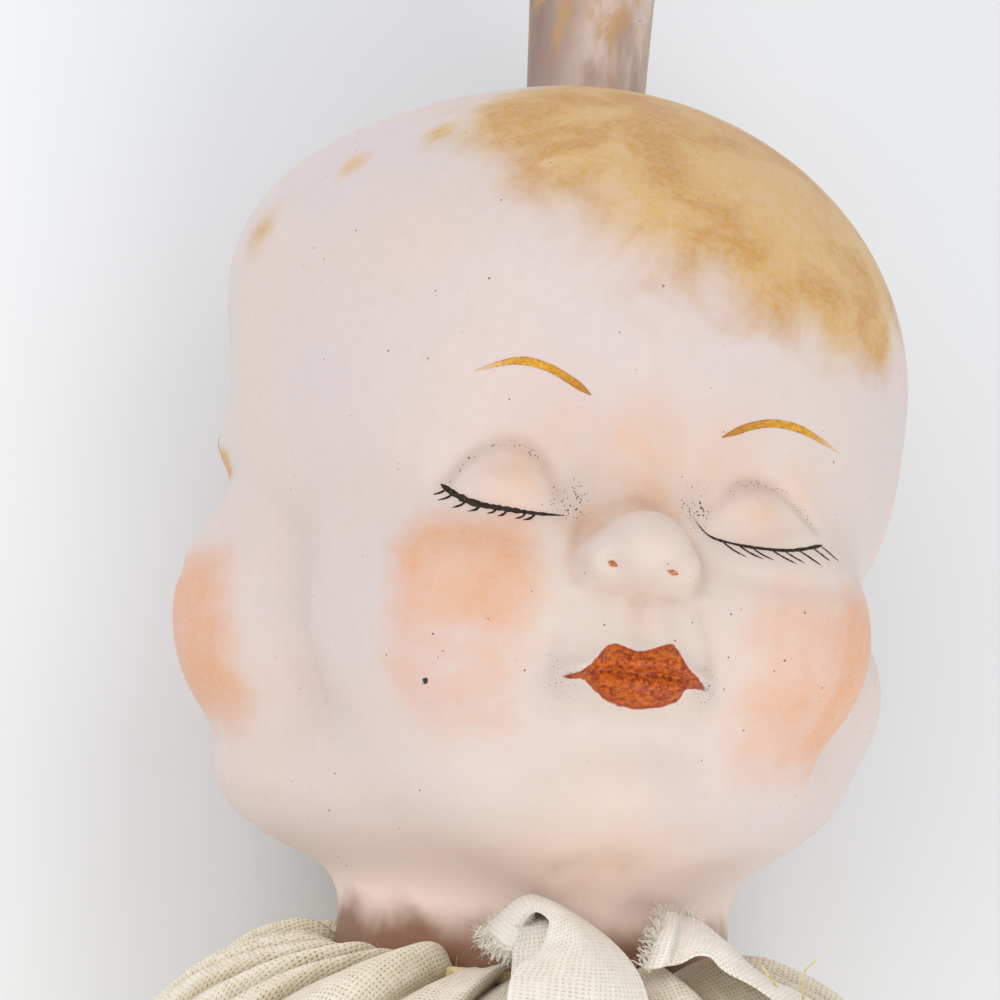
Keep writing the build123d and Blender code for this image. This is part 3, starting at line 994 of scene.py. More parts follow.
def knob_material():
    """The same porcelain as the head, browned and greyed by the hands that turned it, and darker towards
    its -x side: partly dirt, partly painted shade.
    """
    m = Material("knob_bisque", Roughness=0.5, Specular_IOR_Level=0.4, Sheen_Weight=0.05)
    place = m.place()
    drawn = m.stretched(place, 0.35)
    clouds = m.ramp(m.noise(place, 0.09, 3.0), 0.35, 0.65)
    tone = m.mix(clouds, (190, 164, 148), (214, 195, 186))
    grime = m.ramp(m.noise(drawn, 0.16, 4.0, 0.6), 0.42, 0.68, 0.0, 0.8)
    tone = m.mix(grime, tone, (158, 132, 118))
    # Partly dirt, partly painted shade: darker towards the -x side.
    dirt_and_shade_towards_minus_x = m.ramp(m.add("SeparateXYZ", "X", Vector=place), -7.0, 0.0, 0.8, 0.0)
    tone = m.mix(dirt_and_shade_towards_minus_x, tone, (128, 102, 93))
    streaks = m.ramp(m.noise(drawn, 0.3, 5.0, 0.6, 0.5), 0.5, 0.66, 0.0, 0.75)
    tone = m.mix(streaks, tone, (186, 142, 92))
    return m.finish(Base_Color=pin_specks(m, place, tone), Normal=grain(m, place))


def wood_material(name, light, dark, roughness):
    """Turned wood: long grain along the axis, growth rings across it and fine tool lines."""
    m = Material(name, Roughness=roughness, Specular_IOR_Level=0.35)
    place = m.place()
    drawn = m.stretched(place, 0.06)
    rings = m.add("TexWave", "Fac", Vector=drawn, Scale=0.11, Distortion=3.0, Detail=3.0)
    fibre = m.noise(drawn, 2.6, 4.0, 0.65)
    tone = m.mix(m.ramp(rings, 0.2, 0.9, 0.0, 0.6), light, dark)
    tone = m.mix(m.ramp(fibre, 0.45, 0.75, 0.0, 0.55), tone, dark)
    handled = m.ramp(m.noise(place, 0.05, 3.0), 0.45, 0.7, 0.0, 0.4)
    tone = m.mix(handled, tone, (112, 82, 54))
    lines = m.add("TexWave", "Fac", settings={"bands_direction": "Y"}, Vector=place, Scale=0.5)
    tooled = m.bump(lines, 0.01, 0.4)
    return m.finish(Base_Color=tone, Normal=m.bump(fibre, 0.05, 0.6, tooled))


def metal_material(name, bright, dull, roughness):
    """Old metal, dull in patches, with drawn scratches along it."""
    m = Material(name, Metallic=1.0)
    place = m.place()
    drawn = m.stretched(place, 0.1)
    patch = m.ramp(m.noise(place, 0.35, 5.0, 0.6), 0.4, 0.65)
    scratch = m.noise(drawn, 5.0, 3.0, 0.7)
    tone = m.mix(patch, bright, dull)
    rough = m.ramp(m.math("ADD", patch, scratch), 0.3, 1.5, roughness, roughness + 0.3)
    return m.finish(Base_Color=tone, Roughness=rough, Normal=m.bump(scratch, 0.01, 0.5))


def fluffy_material(name, light, dark, scale, depth):
    """Matted fibres or fired clay: soft mottling with a rough tooth."""
    m = Material(name, Roughness=0.95, Specular_IOR_Level=0.1, Sheen_Weight=0.2)
    place = m.place()
    mat = m.noise(place, scale, 5.0, 0.7, 0.8)
    tone = m.mix(m.ramp(mat, 0.35, 0.65), dark, light)
    return m.finish(Base_Color=tone, Normal=m.bump(mat, depth, 0.9))


def dress_pieces():
    dress(knob_material(), "turning_knob")
    dress(wood_material("box_wood", (206, 176, 132), (172, 136, 92), 0.6), "drum_lid", "drum_cup")
    dress(wood_material("plug_wood", (196, 164, 120), (158, 124, 84), 0.7), "neck_plug")
    dress(wood_material("handle_wood", (190, 146, 98), (142, 100, 62), 0.42), "handle")
    steel = metal_material("spindle_steel", (168, 166, 162), (112, 100, 90), 0.32)
    dress(steel, "spindle", "retaining_pin", "lid_tacks")
    dress(metal_material("washer_brass", (206, 168, 96), (140, 108, 60), 0.3), "spindle_washer")
    dress(fluffy_material("bearing_felt", (172, 160, 142), (138, 126, 110), 1.4, 0.2), "bearing_felt")
    pellets = [name for name in frame["nodes"] if name.startswith("pellet_")]
    dress(fluffy_material("clay_pellet", (190, 122, 88), (150, 90, 62), 1.2, 0.15), *pellets)


dress_pieces()


# Muslin -------------------------------------------------------------------------------------
WARP_PITCH = 0.44  # from thread to thread of the weave
WEFT_PITCH = 0.51


def weave(m):
    """Height and cover of a plain weave on a cloth's own flat millimetres."""
    flat = m.add("UVMap", settings={"uv_map": "flat"})
    place = m.add("VectorMath", settings={"operation": "SCALE"}, i0=flat, Scale=1 / MM)
    drift = m.add("TexNoise", "Color", Vector=place, Scale=0.35, Detail=2.0)
    drift = m.add("VectorMath", settings={"operation": "SCALE"}, i0=drift, Scale=0.55)
    place = m.add("VectorMath", settings={"operation": "ADD"}, i0=place, i1=drift)
    warp = m.math("DIVIDE", m.add("SeparateXYZ", "X", Vector=place), WARP_PITCH)
    weft = m.math("DIVIDE", m.add("SeparateXYZ", "Y", Vector=place), WEFT_PITCH)
    heights = []
    slubs = []
    for across, along, turn in ((warp, weft, 0.0), (weft, warp, math.pi)):
        thread = m.math("FLOOR", across)
        aside = m.math("SUBTRACT", m.math("SUBTRACT", across, thread), 0.5)
        spot = m.add("CombineXYZ", X=m.times(thread, 7.3), Y=m.times(along, 0.16))
        slub = m.noise(spot, 1.0, 2.0)
        thick = m.ramp(slub, 0.25, 0.75, 0.28, 0.44)
        round_top = m.math("SUBTRACT", 1.0, m.math("POWER", m.math("DIVIDE", aside, thick), 2.0))
        round_top = m.math("SQRT", m.math("MAXIMUM", round_top, 0.0))
        phase = m.times(m.math("SUBTRACT", along, 0.5), math.pi)
        parity = m.math("ADD", m.times(thread, math.pi), turn)
        rise = m.times(m.math("COSINE", phase), m.math("COSINE", parity))
        height = m.times(round_top, m.math("MULTIPLY_ADD", rise, 0.32, 0.68))
        heights.append(height)
        slubs.append(slub)
    return m.math("MAXIMUM", *heights), m.times(m.math("ADD", *slubs), 0.5), place


def muslin_material(name, light, darker_thread, hole_shade):
    """Open cotton muslin: cream threads that vary, painted shade on their sides and in the gaps between
    them, and yellower and browner in the folds, partly soil and partly painted shade.
    """
    m = Material(
        name,
        Roughness=0.92,
        Specular_IOR_Level=0.15,
        Sheen_Weight=0.45,
        Sheen_Roughness=0.6,
    )
    height, slub, place = weave(m)
    tone = m.mix(m.ramp(slub, 0.35, 0.65), darker_thread, light)
    age = m.ramp(m.noise(place, 0.06, 3.0), 0.35, 0.7, 0.0, 0.3)
    tone = m.mix(age, tone, (222, 207, 168))
    # Painted shade: the threads' low sides are dulled towards the hole colour.
    side = m.ramp(height, 0.1, 0.75)
    tone = m.mix(side, m.mix(0.1, tone, hole_shade), tone)
    # Painted shade: the gaps of the weave get a dark colour for the shade seen through them.
    shaded_gap = m.ramp(height, 0.02, 0.16, 1.0, 0.0)
    veil = m.ramp(m.noise(place, 0.7, 3.0, 0.6), 0.35, 0.65, 0.3, 0.8)
    tone = m.mix(m.times(shaded_gap, veil), tone, hole_shade)
    # Soil and painted shade: browner in the pleats' hollows, down the creases and round the neck, darkest
    # in the weave's gaps.
    soil_and_shade = m.times(m.attribute("soil_and_shade"), m.ramp(m.noise(place, 0.35, 3.0), 0.3, 0.7, 0.6, 1.0))
    tone = m.mix(soil_and_shade, tone, m.mix(shaded_gap, (148, 116, 66), (66, 44, 18)))
    fibres = m.noise(place, 9.0, 2.0, 0.7)
    relief_height = m.math("MULTIPLY_ADD", fibres, 0.12, height)
    return m.finish(Base_Color=tone, Normal=m.bump(relief_height, 0.16, 0.6))


def thread_material(name, light, dark):
    m = Material(name, Roughness=0.9, Specular_IOR_Level=0.15, Sheen_Weight=0.3)
    twist = m.noise(m.place(), 2.5, 3.0, 0.6)
    tone = m.mix(m.ramp(twist, 0.35, 0.65), dark, light)
    return m.finish(Base_Color=tone, Normal=m.bump(m.noise(m.place(), 8.0, 2.0), 0.03, 0.6))


def through(points, count):
    """A smooth run of places through the first axis of an array of points."""
    points = np.asarray(points, float)
    knots = np.concatenate([points[:1], points, points[-1:]])
    shares = np.linspace(0.0, len(points) - 1.0, count)
    first = np.minimum(shares.astype(int), len(points) - 2)
    t = (shares - first).reshape((-1,) + (1,) * (points.ndim - 1))
    a, b, c, d = (knots[first + step] for step in range(4))
    bend = (2 * a - 5 * b + 4 * c - d) * t**2 + (3 * b - a - 3 * c + d) * t**3
    return 0.5 * (2 * b + (c - a) * t + bend)


def make_cloth(name, grid, material):
    """A cloth piece from a grid of places, with its flat size in millimetres in its UVs."""
    rows, columns = grid.shape[:2]
    cloth = make_mesh(name, metres(grid.reshape(-1, 3)), grid_faces(rows, columns), material)
    across = np.linalg.norm(np.diff(grid, axis=1), axis=-1)
    along = np.linalg.norm(np.diff(grid, axis=0), axis=-1).mean(1)
    u = np.concatenate([np.zeros((rows, 1)), np.cumsum(across, axis=1)], 1)
    u *= np.median(u[:, -1]) / u[:, -1:]
    v = np.broadcast_to(np.concatenate([[0.0], np.cumsum(along)])[:, None], u.shape)
    flat = np.stack([u, v], -1).reshape(-1, 2) * MM
    corner = np.empty(len(cloth.data.loops), np.int32)
    cloth.data.loops.foreach_get("vertex_index", corner)
    layer = cloth.data.uv_layers.new(name="flat")
    layer.data.foreach_set("uv", flat[corner].astype(np.float32).ravel())
    return cloth


def add_modifier(piece, kind, **settings):
    modifier = piece.modifiers.new(kind.lower(), kind)
    for name, value in settings.items():
        setattr(modifier, name, value)
    return modifier


# The robe -----------------------------------------------------------------------------------
PLEATS = 34
COLUMNS_A_PLEAT = 14
ROBE_WIDTH = 325.0  # of the flat cloth, round the hem
HEM = -75.6
LIE = -36.3  # how far under the axis the cloth passes on the table
# The robe's middle surface in profile, as (radius, station): up inside the casing, over its
# top edge and down to the straight part.
CASING = (
    (21.2, -7.0),
    (21.1, -4.8),
    (21.6, -3.5),
    (22.9, -3.1),
    (25.4, -3.5),
    (29.4, -5.0),
    (33.2, -8.0),
    (35.6, -12.0),
    (36.4, -17.0),
)
# How deep the pleats may be at each of those places.
CASING_DEPTHS = (0.3, 0.5, 1.6, 2.8, 3.6, 4.4, 4.8, 4.8, 4.8)
FRONT_RISE = 0.005  # how much higher the gathered edge stands at the front than at the back
FANNING = 0.045  # how far the pleats spread away from the front as they leave the neck
RIGHT_SAG = 1.6  # how much lower the cloth lies at the front face's left hand
WIDENING = 0.09  # how much further it stands out to the sides than to the front


# The wadding in profile, as (radius, station), closed on the box's wall; and its widest radius.
WADDING_PROFILE = (
    (31.1, -9.6),
    (31.8, -10.4),
    (32.9, -13.0),
    (33.8, -18.0),
    (34.0, -30.0),
    (33.8, -42.0),
    (33.0, -48.4),
    (32.0, -49.9),
    (31.1, -49.4),
    (31.1, -30.0),
    (31.1, -9.6),
)
WADDING_MOST = 34.3


def robe_rows():
    """(radius, station, deepest pleat) of each ring of the robe, from inside the casing down."""
    steps = np.linspace(0.0, 1.0, len(CASING))
    fine = through(np.array(CASING), 34)
    depths = np.interp(np.linspace(0.0, 1.0, 34), steps, CASING_DEPTHS)
    rows = [(radius, station, depth) for (radius, station), depth in zip(fine, depths)]
    for station in np.linspace(CASING[-1][1], HEM, 40)[1:]:
        rows.append((CASING[-1][0], station, 4.6))
    return rows


def outline(radius, spread, shares):
    """Places and outward normals round the robe, and how free the cloth is of the table there.

    Shares run once round from the table side; spread is how far the cloth fans out on it.
    """
    turn = np.linspace(0.0, 180.0, 181)
    x = radius * np.sin(np.radians(turn))
    out = np.maximum(radius * np.cos(np.radians(turn)), LIE)
    lying_x = np.interp(turn, (90, 105, 120, 131, 139, 148, 180), (radius, 37.4, 40.6, 44.6, 47.6, 46.0, 0))
    lying_out = np.interp(turn, (90, 105, 120, 131, 139, 148, 180), (0, -11, -22.6, -30.5, -34.8, LIE, LIE))
    low = turn > 90
    x = np.where(low, (1 - spread) * x + spread * lying_x, x)
    out = np.where(low, (1 - spread) * out + spread * lying_out, out)
    ring_x = np.concatenate([x[::-1], -x[1:]])
    ring_out = np.concatenate([out[::-1], out[1:]])
    along = np.concatenate([[0.0], np.cumsum(np.hypot(np.diff(ring_x), np.diff(ring_out)))])
    along /= along[-1]
    place = np.stack([np.interp(shares, along, ring_x), np.interp(shares, along, ring_out)], -1)
    step = 0.004
    ahead = np.stack([np.interp((shares + step) % 1, along, r) for r in (ring_x, ring_out)], -1)
    behind = np.stack([np.interp((shares - step) % 1, along, r) for r in (ring_x, ring_out)], -1)
    tangent = ahead - behind
    tangent /= np.linalg.norm(tangent, axis=1, keepdims=True)
    normal = np.stack([tangent[:, 1], -tangent[:, 0]], -1)
    free = np.clip((place[:, 1] - LIE) / 6.0, 0.0, 1.0) ** 1.5
    return place, normal, tangent, free


def pleat_columns(chance):
    """Where each column of the cloth lies in its pleat, and the pleat's own ways."""
    sizes = chance.uniform(0.5, 1.5, PLEATS)
    starts = np.concatenate([[0.0], np.cumsum(sizes)]) / sizes.sum()
    within = np.linspace(0.0, 1.0, COLUMNS_A_PLEAT, endpoint=False)
    pleat = np.append(np.repeat(np.arange(PLEATS), COLUMNS_A_PLEAT), PLEATS - 1)
    column = {
        "within": np.append(np.tile(within, PLEATS), 1.0),
        "start": starts[pleat],
        "width": starts[pleat + 1] - starts[pleat],
        "tall": (chance.uniform(0.75, 1.1, PLEATS) * sizes**0.25)[pleat],
    }
    ways = {"fades": (-0.2, 0.75), "lean": (-1.2, -0.1), "phase": (0.0, 2 * np.pi), "drift": (-0.5, 0.5)}
    for name, (least, most) in ways.items():
        column[name] = chance.uniform(least, most, PLEATS)[pleat]
    return SimpleNamespace(**column)


def pleat_soil_and_shade(column, radius, fall, x):
    """Brown darkening in the gathers and fading down the creases: partly soil, partly painted shade in the
    pleats' hollows.
    """
    hollow_shade = 1.0 - np.sin(np.pi * column.within)
    near = math.exp(-(((radius - 21.0) / 5.0) ** 2))
    creases = (0.1 + 0.9 * hollow_shade**0.9) * (1.0 - fall) ** 3
    # This factor only makes the darkening stronger towards +x.
    handled = 0.85 + 0.3 * np.clip(x / 24.0, -1.0, 1.0)
    return handled * np.maximum((0.25 + 0.7 * hollow_shade) * near, creases)


def fitted(ring_at, deepest):
    """The ring whose pleats are just deep enough to take up the cloth's whole width."""
    low, high = 0.0, deepest
    for _ in range(14):
        depth = 0.5 * (low + high)
        ring = ring_at(depth)
        length = np.linalg.norm(np.diff(ring, axis=0), axis=-1).sum()
        low, high = (depth, high) if length < ROBE_WIDTH else (low, depth)
    return ring


def pleat_row(column, rows, index):
    """One ring of the cloth and its soil."""
    radius, station, deepest = rows[index]
    wave = np.sin(np.pi * column.within)
    fall = np.clip((CASING[3][1] - station) / (CASING[3][1] - HEM), 0.0, 1.0)
    spread = np.clip((-8.0 - station) / 50.0, 0.0, 1.0)
    spread = spread**2 * (3.0 - 2.0 * spread)
    leaving = np.clip((radius - CASING[2][0]) / (CASING[-2][0] - CASING[2][0]), 0.0, 1.0)
    overhang = 0.5 - 0.35 * fall
    eased = column.within - overhang * np.sin(2 * np.pi * column.within) / (2 * np.pi)
    shares = column.start + eased * column.width
    shares = shares + FANNING * leaving * np.sin(2 * np.pi * (shares - 0.5))
    place, normal, tangent, free = outline(radius, spread, shares)
    place[:, 0] *= 1.0 + WIDENING * leaving * (1.0 - spread)
    sag = RIGHT_SAG * leaving * np.clip(place[:, 0] / 24.0, 0.0, 1.0) * (1.0 - spread)
    crest = wave ** (0.95 - 0.3 * leaving) * column.tall * (1.0 - column.fades * fall)
    small = 0.16 * np.sin(4 * np.pi * column.within + column.phase + 6.0 * fall) * wave
    crest = crest + small
    wander = column.drift * np.sin(np.pi * fall) * wave * 5.0
    before = rows[max(index - 1, 0)]
    after = rows[min(index + 1, len(rows) - 1)]
    slope = np.array([after[0] - before[0], after[1] - before[1]])
    slope /= max(np.hypot(*slope), 1e-9)

    def ring_at(depth):
        lift = depth * free * (crest - 0.42)
        aside = (depth * column.lean * crest + wander * fall) * free
        flat = place - normal * (lift * slope[1])[:, None] + tangent * aside[:, None]
        level = station + lift * slope[0] + FRONT_RISE * (1.0 - fall) * place[:, 1] - sag
        return np.stack([flat[:, 0], level, flat[:, 1]], -1)

    return fitted(ring_at, deepest), pleat_soil_and_shade(column, radius, fall, place[:, 0])


def pleated_grid():
    """The robe's cloth, drawn up in pleats round the neck and opening towards the hem."""
    column = pleat_columns(np.random.default_rng(11))
    rows = robe_rows()
    made = [pleat_row(column, rows, index) for index in range(len(rows))]
    return np.array([ring for ring, _ in made]), np.array([soil_and_shade for _, soil_and_shade in made])


def turned_hem(grid):
    """The grid with its last rows turned up inside as a narrow hem."""
    inwards = grid[-5:] * (-1.0, 0.0, -1.0)
    inwards /= np.linalg.norm(inwards, axis=-1, keepdims=True)
    inside = (grid[-5:] + 0.5 * inwards)[::-1]
    edge = grid[-1:] + 0.25 * inwards[-1:] - (0.0, 0.35, 0.0)
    return np.concatenate([grid, edge, inside])


def build_wadding(material):
    """A soft roll of cotton round the box, lumpy and rounded where the gathers press on it."""
    profile = through(np.array(WADDING_PROFILE), 40)
    turns = np.linspace(0.0, 2 * np.pi, 240, endpoint=False)
    lumps = 0.25 * np.sin(7 * turns + 1.0) + 0.2 * np.sin(17 * turns) * np.cos(5 * turns)
    rings = []
    for radius, station in profile:
        swell = np.clip((radius - WADDING_PROFILE[0][0]) / 2.0, 0.0, 1.0)
        rippled = radius + swell * (lumps + 0.2 * np.sin(0.7 * station + 9 * turns))
        rings.append(polar(np.degrees(turns), station, np.minimum(rippled, WADDING_MOST)))
    places = np.array(rings)
    faces = grid_faces(len(rings), len(turns), closed=True)
    wadding = make_mesh("cotton_wadding", metres(places.reshape(-1, 3)), faces, material)
    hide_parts("drum_wadding")
    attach(wadding, BODY)


def build_robe(material):
    pleats, soil_and_shade = pleated_grid()
    grid = turned_hem(pleats)
    grid[..., 2] = np.maximum(grid[..., 2], 0.3 - NECK_LINE[2])
    robe = make_cloth("muslin_robe_cloth", grid, material)
    set_attribute(robe, "soil_and_shade", np.concatenate([soil_and_shade, np.zeros((6, soil_and_shade.shape[1]))]))
    add_modifier(robe, "SUBSURF", levels=1, render_levels=1)
    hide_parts("muslin_robe")
    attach(robe, BODY)
    return pleats


# The torn strips at the throat --------------------------------------------------------------
# Each strip is a grid of (x, station, out) places, three across, from its frayed end down.
FRONT_STRIP = (
    ((-9.4, 0.8, 26.3), (-8.2, -0.1, 27.4), (-6.7, -0.3, 28.0)),
    ((-8.3, 2.2, 24.8), (-7.4, 1.4, 26.6), (-6.3, 0.9, 27.4)),
    ((-6.5, 3.7, 22.8), (-6.2, 3.0, 25.7), (-5.8, 2.3, 26.9)),
    ((-4.2, 4.5, 21.8), (-4.9, 4.2, 25.3), (-5.1, 3.3, 27.0)),
    ((-1.9, 3.9, 22.0), (-3.2, 4.0, 26.2), (-4.2, 3.0, 27.8)),
    ((0.5, 2.7, 23.0), (-2.0, 3.0, 28.2), (-3.9, 2.2, 28.7)),
    ((2.9, 1.0, 25.0), (-1.2, 1.4, 30.4), (-5.0, 0.0, 30.6)),
    ((4.3, -0.9, 28.0), (-1.0, -0.5, 33.4), (-7.0, -1.0, 32.6)),
    ((4.9, -3.4, 32.0), (-1.4, -2.9, 36.8), (-8.4, -2.6, 35.2)),
    ((5.0, -7.3, 36.8), (-1.9, -6.9, 40.6), (-9.2, -6.0, 38.6)),
    ((5.6, -14.0, 39.4), (-1.8, -14.0, 41.9), (-8.9, -13.5, 40.2)),
    ((6.2, -24.0, 39.5), (-1.4, -24.0, 41.7), (-8.8, -24.0, 39.3)),
    ((6.4, -33.6, 39.2), (-1.0, -34.2, 41.2), (-8.4, -33.8, 39.0)),
)
INNER_FOLD = (
    ((-7.0, 3.6, 22.4), (-4.7, 4.2, 22.2), (-2.4, 3.7, 22.6)),
    ((-6.9, 2.4, 23.8), (-5.0, 2.6, 23.4), (-2.9, 2.6, 23.8)),
    ((-6.6, 1.9, 26.9), (-5.1, 2.1, 26.6), (-3.4, 2.4, 26.9)),
    ((-6.8, 0.2, 28.4), (-5.3, 0.3, 28.2), (-3.6, 0.6, 28.8)),
    ((-7.4, -1.2, 30.4), (-5.8, -1.2, 30.6), (-4.0, -0.9, 31.0)),
    ((-8.1, -3.0, 33.8), (-6.6, -3.0, 34.2), (-5.0, -2.8, 34.6)),
)
SIDE_STRIP = (
    ((9.0, 3.7, 20.3), (7.4, 1.6, 24.0), (5.9, -1.4, 26.2)),
    ((10.2, 3.8, 20.0), (8.5, 1.8, 25.0), (7.0, -1.3, 27.0)),
    ((11.4, 3.2, 18.8), (9.7, 1.7, 23.8), (8.3, -1.0, 25.8)),
    ((12.4, 2.9, 18.8), (10.6, 1.9, 25.2), (9.2, -0.3, 27.2)),
    ((13.9, 2.4, 18.4), (11.8, 1.7, 25.8), (10.2, 0.3, 27.7)),
    ((15.6, 1.0, 18.6), (13.4, 1.0, 26.4), (11.7, 0.2, 28.4)),
    ((17.2, -0.6, 20.6), (14.6, -0.3, 27.8), (12.7, -0.9, 29.8)),
    ((19.4, -1.9, 22.6), (16.6, -1.7, 29.6), (14.6, -2.0, 32.0)),
    ((21.8, -3.0, 24.8), (18.8, -3.0, 31.8), (16.6, -3.6, 34.6)),
    ((25.2, -5.8, 27.6), (21.6, -6.2, 34.0), (18.8, -7.4, 37.2)),
    ((28.0, -14.0, 29.8), (24.0, -14.5, 34.6), (19.8, -15.0, 37.6)),
    ((28.4, -25.5, 30.0), (24.4, -26.0, 34.2), (20.2, -26.5, 37.2)),
)


def build_strip(name, places, material, shaded=False):
    """A torn strip as a sheet a little thick at its edges; shaded ones get painted shade at the top, in the
    fold's hollow.
    """
    grid = through(np.array(places), 8 * len(places))
    grid = through(grid.swapaxes(0, 1), 18).swapaxes(0, 1)
    chance = np.random.default_rng(len(places))
    ruffle = through(chance.normal(0.0, 0.12, (9, 3)), grid.shape[0])[:, None, :]
    grid = grid + ruffle * np.linspace(-1.0, 1.0, 18)[None, :, None]
    strip = make_cloth(name, grid, material)
    soil_and_shade = np.zeros(grid.shape[:2])
    if shaded:
        # Painted shade in the hollow at the top of the fold.
        soil_and_shade += np.interp(np.arange(len(grid)), (14, 22, 46), (0.6, 0.2, 0.0))[:, None]
    set_attribute(strip, "soil_and_shade", soil_and_shade)
    add_modifier(strip, "SOLIDIFY", thickness=0.22 * MM, offset=0.0)
    add_modifier(strip, "SUBSURF", levels=1, render_levels=1)
    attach(strip, BODY)
    return strip, grid


def build_threads(name, splines, radius, material):
    """Loose threads or fibres as one curve piece, each a list of places."""
    curve = bpy.data.curves.new(name, "CURVE")
    curve.dimensions = "3D"
    curve.bevel_depth = radius * MM
    curve.bevel_resolution = 1
    curve.use_fill_caps = True
    for places in splines:
        spline = curve.splines.new("POLY")
        spline.points.add(len(places) - 1)
        points = np.concatenate([metres(places), np.ones((len(places), 1))], 1)
        spline.points.foreach_set("co", points.ravel())
        spline.points.foreach_set("radius", np.linspace(1.0, 0.45, len(places)))
    curve.materials.append(material)
    piece = bpy.data.objects.new(name, curve)
    bpy.context.scene.collection.objects.link(piece)
    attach(piece, BODY)
    return piece


def tufts(chance, edge, towards, count, shortest, longest, spread):
    """Ragged threads that leave an edge in about one direction and wander."""
    made = []
    for share in np.sort(chance.uniform(0.0, 1.0, count)):
        root = np.array([np.interp(share, np.linspace(0, 1, len(edge)), edge[:, a]) for a in range(3)])
        way = np.array(towards) + chance.normal(0.0, spread, 3)
        way /= np.linalg.norm(way)
        length = chance.uniform(shortest, longest)
        places = [root - 0.6 * way]
        for _ in range(5):
            way = way + chance.normal(0.0, 0.22, 3)
            way /= np.linalg.norm(way)
            places.append(places[-1] + way * (length + 0.6) / 5)
        made.append(through(np.array(places), 12))
    return made


YARN_RADIUS = 0.1
FUZZ_RADIUS = 0.022
LOOSE_THREAD_RADIUS = 0.16


def build_fray(front, side, robe_grid):
    """Frayed ends and stray fibres of the torn muslin."""
    chance = np.random.default_rng(23)
    cotton = thread_material("frayed_cotton", (240, 236, 226), (222, 214, 196))
    top = robe_grid[int(np.argmax(robe_grid[:, 0, 1]))]
    yarn_edges = (
        (front[0], (-0.5, -0.8, 0.1), 70, 0.5, 1.3, 0.25),
        (side[0], (-0.75, 0.45, 0.0), 90, 0.5, 1.7, 0.22),
        (side[1:30, 0], (0.0, 0.9, 0.0), 26, 0.4, 1.3, 0.3),
        (front[-1], (0.0, -1.0, 0.0), 22, 0.8, 2.2, 0.2),
        (side[-1], (0.0, -1.0, 0.0), 16, 0.8, 2.0, 0.2),
    )
    fuzz_edges = (
        (front[0], (-0.7, -0.5, 0.3), 160, 0.5, 1.8, 0.6),
        (front[:30, 0], (-0.4, 0.8, 0.1), 160, 0.3, 1.1, 0.5),
        (front[:24, -1], (-0.2, -0.6, 0.5), 120, 0.2, 0.8, 0.5),
        (side[0], (-0.7, 0.3, 0.2), 120, 0.5, 2.0, 0.6),
        (top, (0.0, 0.9, 0.0), 260, 0.5, 1.8, 0.7),
    )
    for name, edges, radius in (
        ("frayed_yarns", yarn_edges, YARN_RADIUS),
        ("cotton_fuzz", fuzz_edges, FUZZ_RADIUS),
    ):
        fibres = [fibre for edge in edges for fibre in tufts(chance, *edge)]
        build_threads(name, fibres, radius, cotton)
    yellow = thread_material("loose_thread", (226, 212, 168), (196, 176, 122))
    dress(yellow, "gathering_thread")
    loose = [
        through(np.array([(20.3, -3.6, 29.4), (20.2, -0.9, 28.8), (21.7, 0.9, 29.0)]), 12),
        through(np.array([(16.3, -0.2, 28.6), (17.2, -1.6, 29.6), (18.5, -3.3, 30.4)]), 12),
    ]
    build_threads("loose_threads", loose, LOOSE_THREAD_RADIUS, yellow)


def build_cloth():
    # The last colour of each muslin is painted shade seen through the gaps of the weave.
    muslin = muslin_material("muslin", (250, 243, 225), (241, 230, 205), (116, 90, 48))
    pale = muslin_material("muslin_pale", (250, 247, 239), (244, 240, 229), (196, 180, 142))
    build_wadding(fluffy_material("wadding", (238, 234, 224), (214, 206, 190), 0.4, 0.6))
    pleats = build_robe(muslin)
    fold, _ = build_strip("throat_strip_fold", INNER_FOLD, pale, shaded=True)
    front, front_grid = build_strip("throat_strip_front", FRONT_STRIP, pale)
    side, side_grid = build_strip("throat_strip_side", SIDE_STRIP, pale)
    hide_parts("throat_flap_front")
    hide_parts("throat_flap_side")
    build_fray(front_grid, side_grid, pleats)


build_cloth()


# Floor, light and camera --------------------------------------------------------------------
# Painted light and shade: the table runs from a lighter colour to a darker one across it.
FLOOR_LIT_SIDE = tuple(255 * part ** (1 / 2.2) for part in (0.845, 0.855, 0.865))
FLOOR_SHADED_SIDE = tuple(255 * part ** (1 / 2.2) for part in (0.7, 0.71, 0.72))


def build_floor():
    m = Material("table", Roughness=0.6)
    dot = {"operation": "DOT_PRODUCT"}
    along = m.add("VectorMath", "Value", settings=dot, i0=m.place(), i1=(0.8, 0.6, 0))
    tone = m.mix(m.ramp(along, -60.0, 150.0), FLOOR_LIT_SIDE, FLOOR_SHADED_SIDE)
    material = m.finish(Base_Color=tone)
    corners = [(-4, -4, 0), (4, -4, 0), (4, 4, 0), (-4, 4, 0)]
    floor = make_mesh("table_top", corners, [(0, 1, 2, 3)], material, smooth=False)


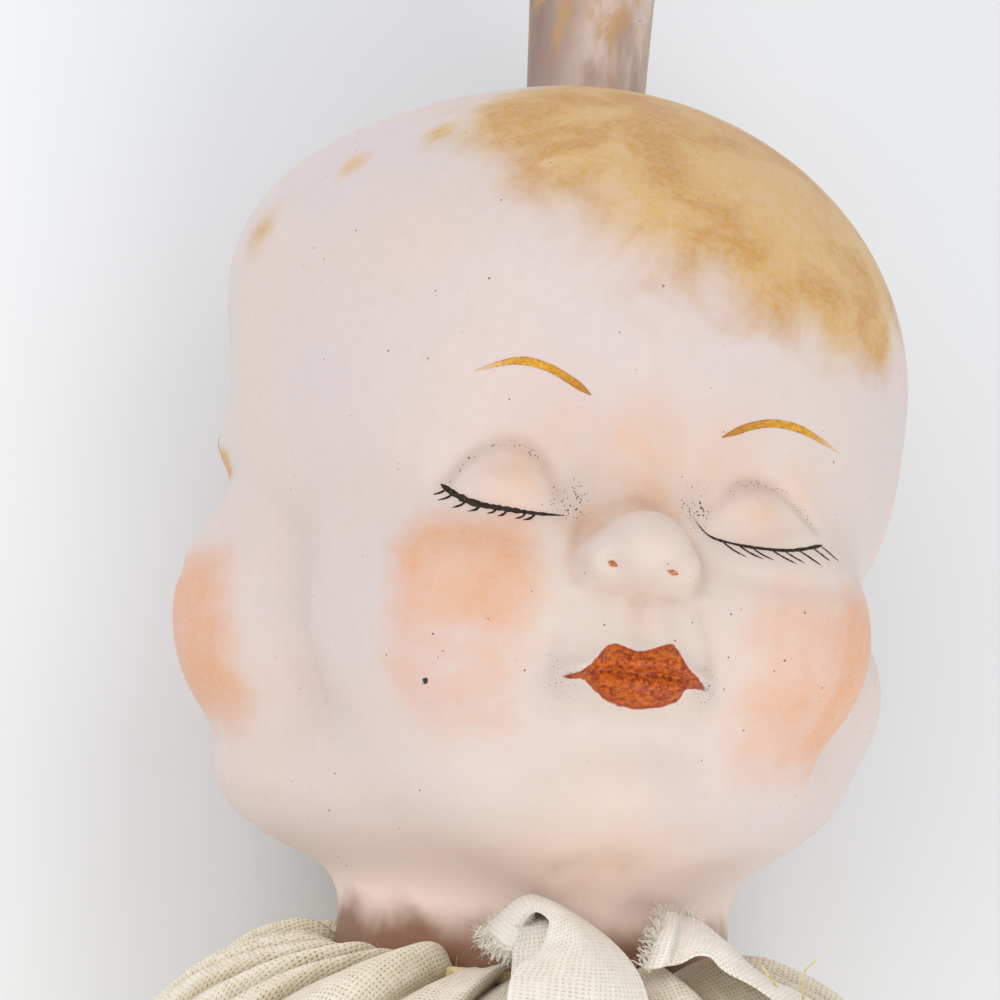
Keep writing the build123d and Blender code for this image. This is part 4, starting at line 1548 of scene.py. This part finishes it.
def add_light(name, place, target, size, watts, tint=(1.0, 1.0, 1.0)):
    lamp = bpy.data.lights.new(name, "AREA")
    lamp.shape = "DISK"
    lamp.size = size
    lamp.energy = watts
    lamp.color = tint
    holder = bpy.data.objects.new(name, lamp)
    holder.location = place
    holder.rotation_euler = (Vector(target) - Vector(place)).to_track_quat("-Z", "Y").to_euler()
    bpy.context.scene.collection.objects.link(holder)


def build_lights():
    world = bpy.data.worlds.new("studio")
    world.use_nodes = True
    sky = world.node_tree.nodes["Background"]
    sky.inputs["Color"].default_value = (0.975, 0.985, 1.0, 1.0)
    sky.inputs["Strength"].default_value = 0.84
    bpy.context.scene.world = world
    middle = metres((0.0, 40.0, 0.0))
    add_light("key", middle + (0.3, -0.58, 0.62), middle, 0.6, 3.0, (1.0, 0.985, 0.96))
    add_light("fill", middle + (-0.6, 0.42, 0.7), middle, 0.9, 3.0, (0.985, 0.99, 1.0))


CAMERA_DISTANCE = 200.0  # from the axis, in millimetres
CAMERA_PITCH = -8.86  # below the level of the face, in degrees
CAMERA_YAW = 8.85  # how far the front face is turned away to the right
CAMERA_ROLL = 4.0
LENS = 65.5
AIM_STATION = 45.85
AXIS_OFFSET = 6.53  # how far right of the picture's middle the axis passes


def build_camera():
    pitch, yaw, roll = (math.radians(a) for a in (CAMERA_PITCH, CAMERA_YAW, CAMERA_ROLL))
    back = Vector(
        (-math.cos(pitch) * math.sin(yaw), math.sin(pitch), math.cos(pitch) * math.cos(yaw))
    )
    level_right = (-back).cross(Vector((0, 1, 0))).normalized()
    level_up = level_right.cross(-back)
    right = math.cos(roll) * level_right + math.sin(roll) * level_up
    up = math.cos(roll) * level_up - math.sin(roll) * level_right
    aim = Vector(metres((0.0, AIM_STATION, 0.0))) - right * AXIS_OFFSET * MM
    lens = bpy.data.cameras.new("camera")
    lens.sensor_width = 36.0
    lens.lens = LENS
    lens.clip_start = 0.01
    camera = bpy.data.objects.new("camera", lens)
    turn = Matrix((right, up, back)).transposed()
    camera.matrix_world = Matrix.Translation(aim + back * CAMERA_DISTANCE * MM) @ turn.to_4x4()
    bpy.context.scene.collection.objects.link(camera)
    bpy.context.scene.camera = camera


build_floor()
build_lights()
build_camera()
bpy.context.scene.view_settings.view_transform = "Standard"
